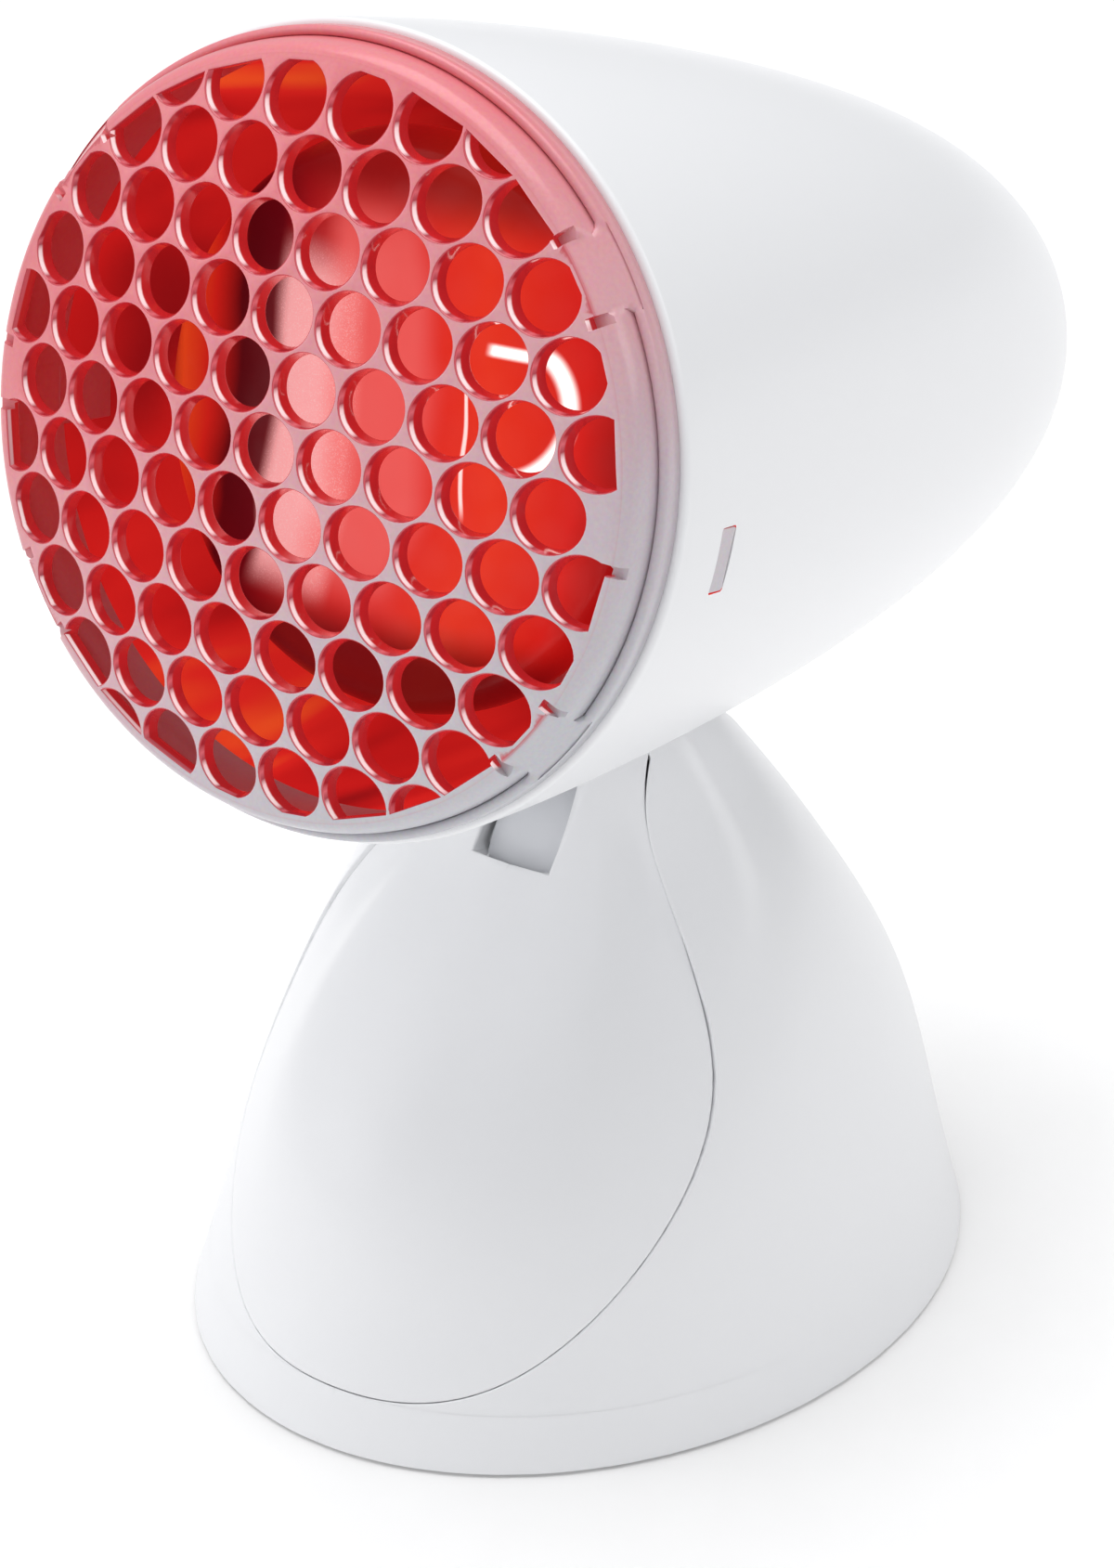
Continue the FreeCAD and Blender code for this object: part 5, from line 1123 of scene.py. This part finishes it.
def ruby_glass():
    """Ruby glass over a mirrored cup. Across the face, in millimetres from its middle, the light that the mirror
    throws back is painted in bent bands: orange by the rim, dark maroon, a pale painted reflection, then crimson
    with thin painted highlight lines and one painted curved glare. Top and bottom are painted darker, maroon
    shade; the cup behind is dull ruby. The face glows with these painted colours.
    """
    material, tree, where = new_material("ruby_glass")
    from_crown = off_point(tree, where, HEAD_ORIGIN)
    u, v, depth = [reach_along(tree, from_crown, axis / MM) for axis in HEAD_AXES]

    def mark(across, place):
        """The share of a mark with a band across, at a place, and a band up."""
        return times(tree, soft_band(tree, place, *across[0]), soft_band(tree, v, *across[1]))

    wobble = noise(tree, where, 45.0, Detail=1.0)
    bend = times(tree, v, v, GLASS_BEND)
    shake = times(tree, combine(tree, "SUBTRACT", wobble, 0.5), GLASS_SHAKE)
    bent = combine(tree, "ADD", combine(tree, "ADD", u, bend), shake)
    share = combine(tree, "DIVIDE", combine(tree, "ADD", bent, GLASS_HALF), 2 * GLASS_HALF, use_clamp=True)
    colour = ramp(tree, share, PAINTED_MIRROR_BANDS)
    patch = mark(PATCH, bent)
    speckle = noise(tree, where, 4800.0, Detail=1.0)
    grains = times(tree, combine(tree, "GREATER_THAN", speckle, 0.60), patch)
    low, high = soft_band(tree, v, *LOW_END), soft_band(tree, v, *HIGH_END)
    # Painted reflection and paler red, then painted maroon shade at bottom and top.
    for part, strength, tint in ((patch, 0.85, PAINTED_REFLECTION_PINK), (mark(PALE, bent), 0.7, PALE_RED),
                                 (grains, 0.3, PAINTED_REFLECTION_GRAIN), (low, 0.85, LOW_PAINTED_SHADE),
                                 (high, 0.75, HIGH_PAINTED_SHADE)):
        colour = mixed(tree, times(tree, part, strength), colour, tint)
    # Painted highlights: a curved glare, thin lines and a bar.
    aside, above = [combine(tree, "SUBTRACT", place, middle) for place, middle in zip((u, v), GLARE_MIDDLE)]
    ring = combine(tree, "SQRT", combine(tree, "ADD", times(tree, aside, aside), times(tree, above, above)))
    glare = times(tree, soft_band(tree, ring, *GLARE_RING), mark(GLARE, u))
    line = times(tree, mark(LINE, bent), 0.6)
    bright = combine(tree, "MAXIMUM", combine(tree, "MAXIMUM", line, glare), mark(BAR, u))
    colour = mixed(tree, bright, colour, GLARE_WHITE)
    rim_depth = BULB_FACE - RIM_FALL
    colour = mixed(tree, ranged(tree, depth, rim_depth - 3.0, rim_depth - 1.0), CUP_RUBY, colour)
    # The face glows with its painted colours, the painted highlights most.
    shade(tree, Base_Color=colour, Emission_Color=colour,
          Emission_Strength=combine(tree, "ADD", times(tree, bright, 0.5), 0.62), Roughness=0.30,
          Specular_IOR_Level=0.15, Coat_Weight=0.15, Coat_Roughness=0.20)
    return material


bulb_line = np.concatenate([bulb_profile(0.0), bulb_profile(BULB_GLASS)[::-1]])
bulb_faces = grid_faces(len(bulb_line), BULB_POINTS, around=True)
piece(closed_mesh("bulb_envelope", in_head(turned(bulb_line, BULB_POINTS)), bulb_faces), ruby_glass(), "bulb",
      "bulb_glass")


# Fittings: the screws, the bracket, the holder and the rest keep the shape of the construction, and take the
# finish of what they are made of.
def metal(name, colour, roughness, grain):
    """Plated or plain metal: fine brushing in gloss and height, and a little unevenness in tone."""
    material, tree, where = new_material(name)
    brush = noise(tree, where, grain, Detail=4.0)
    shade(tree, Base_Color=toned(tree, brush, colour, 0.82),
          Roughness=ranged(tree, brush, 0.0, 1.0, roughness * 0.7, roughness * 1.3),
          Normal=bumped(tree, brush, 0.08), Metallic=1.0)
    return material


def solid_finish(name, colour, roughness, grain, depth):
    """Rubber, fibre, porcelain or glass: a mottle in tone and a grain of its own depth."""
    material, tree, where = new_material(name)
    mottle = noise(tree, where, grain, Detail=3.0)
    shade(tree, Base_Color=toned(tree, mottle, colour, 0.88), Roughness=roughness,
          Normal=bumped(tree, mottle, depth, 0.0002))
    return material


FINISHES = {
    "white_shell": white_shell,
    "white_inner": shell_plastic("white_inner", (0.80, 0.80, 0.80), 0.42),
    "grey_white_arm": arm_grey,
    "white_bush": shell_plastic("white_bush", (0.80, 0.805, 0.82), 0.34),
    "clear_guard": bpy.data.materials["clear_guard"],
    "ruby_glass": bpy.data.materials["ruby_glass"],
    "zinc_steel": metal("zinc_steel", (0.72, 0.73, 0.75), 0.28, 500.0),
    "spring_steel": metal("spring_steel", (0.42, 0.45, 0.52), 0.24, 700.0),
    "brass": metal("brass", (0.80, 0.58, 0.26), 0.25, 420.0),
    "solder": metal("solder", (0.62, 0.62, 0.64), 0.40, 260.0),
    "tungsten": metal("tungsten", (0.32, 0.32, 0.34), 0.45, 900.0),
    "rubber_pad": solid_finish("rubber_pad", (0.10, 0.10, 0.11), 0.75, 650.0, 0.35),
    "fibre": solid_finish("fibre", (0.42, 0.12, 0.08), 0.65, 420.0, 0.25),
    "ceramic": solid_finish("ceramic", (0.88, 0.86, 0.82), 0.15, 120.0, 0.04),
    "clear_glass": solid_finish("clear_glass", (0.80, 0.83, 0.84), 0.05, 90.0, 0.02),
    "black_glass": solid_finish("black_glass", (0.04, 0.04, 0.05), 0.10, 150.0, 0.03),
}
for row in frame["record"]["subparts"]:
    node = frame["nodes"][row["node"]]
    node.data.materials.clear()
    node.data.materials.append(FINISHES[row["material_slot"]])
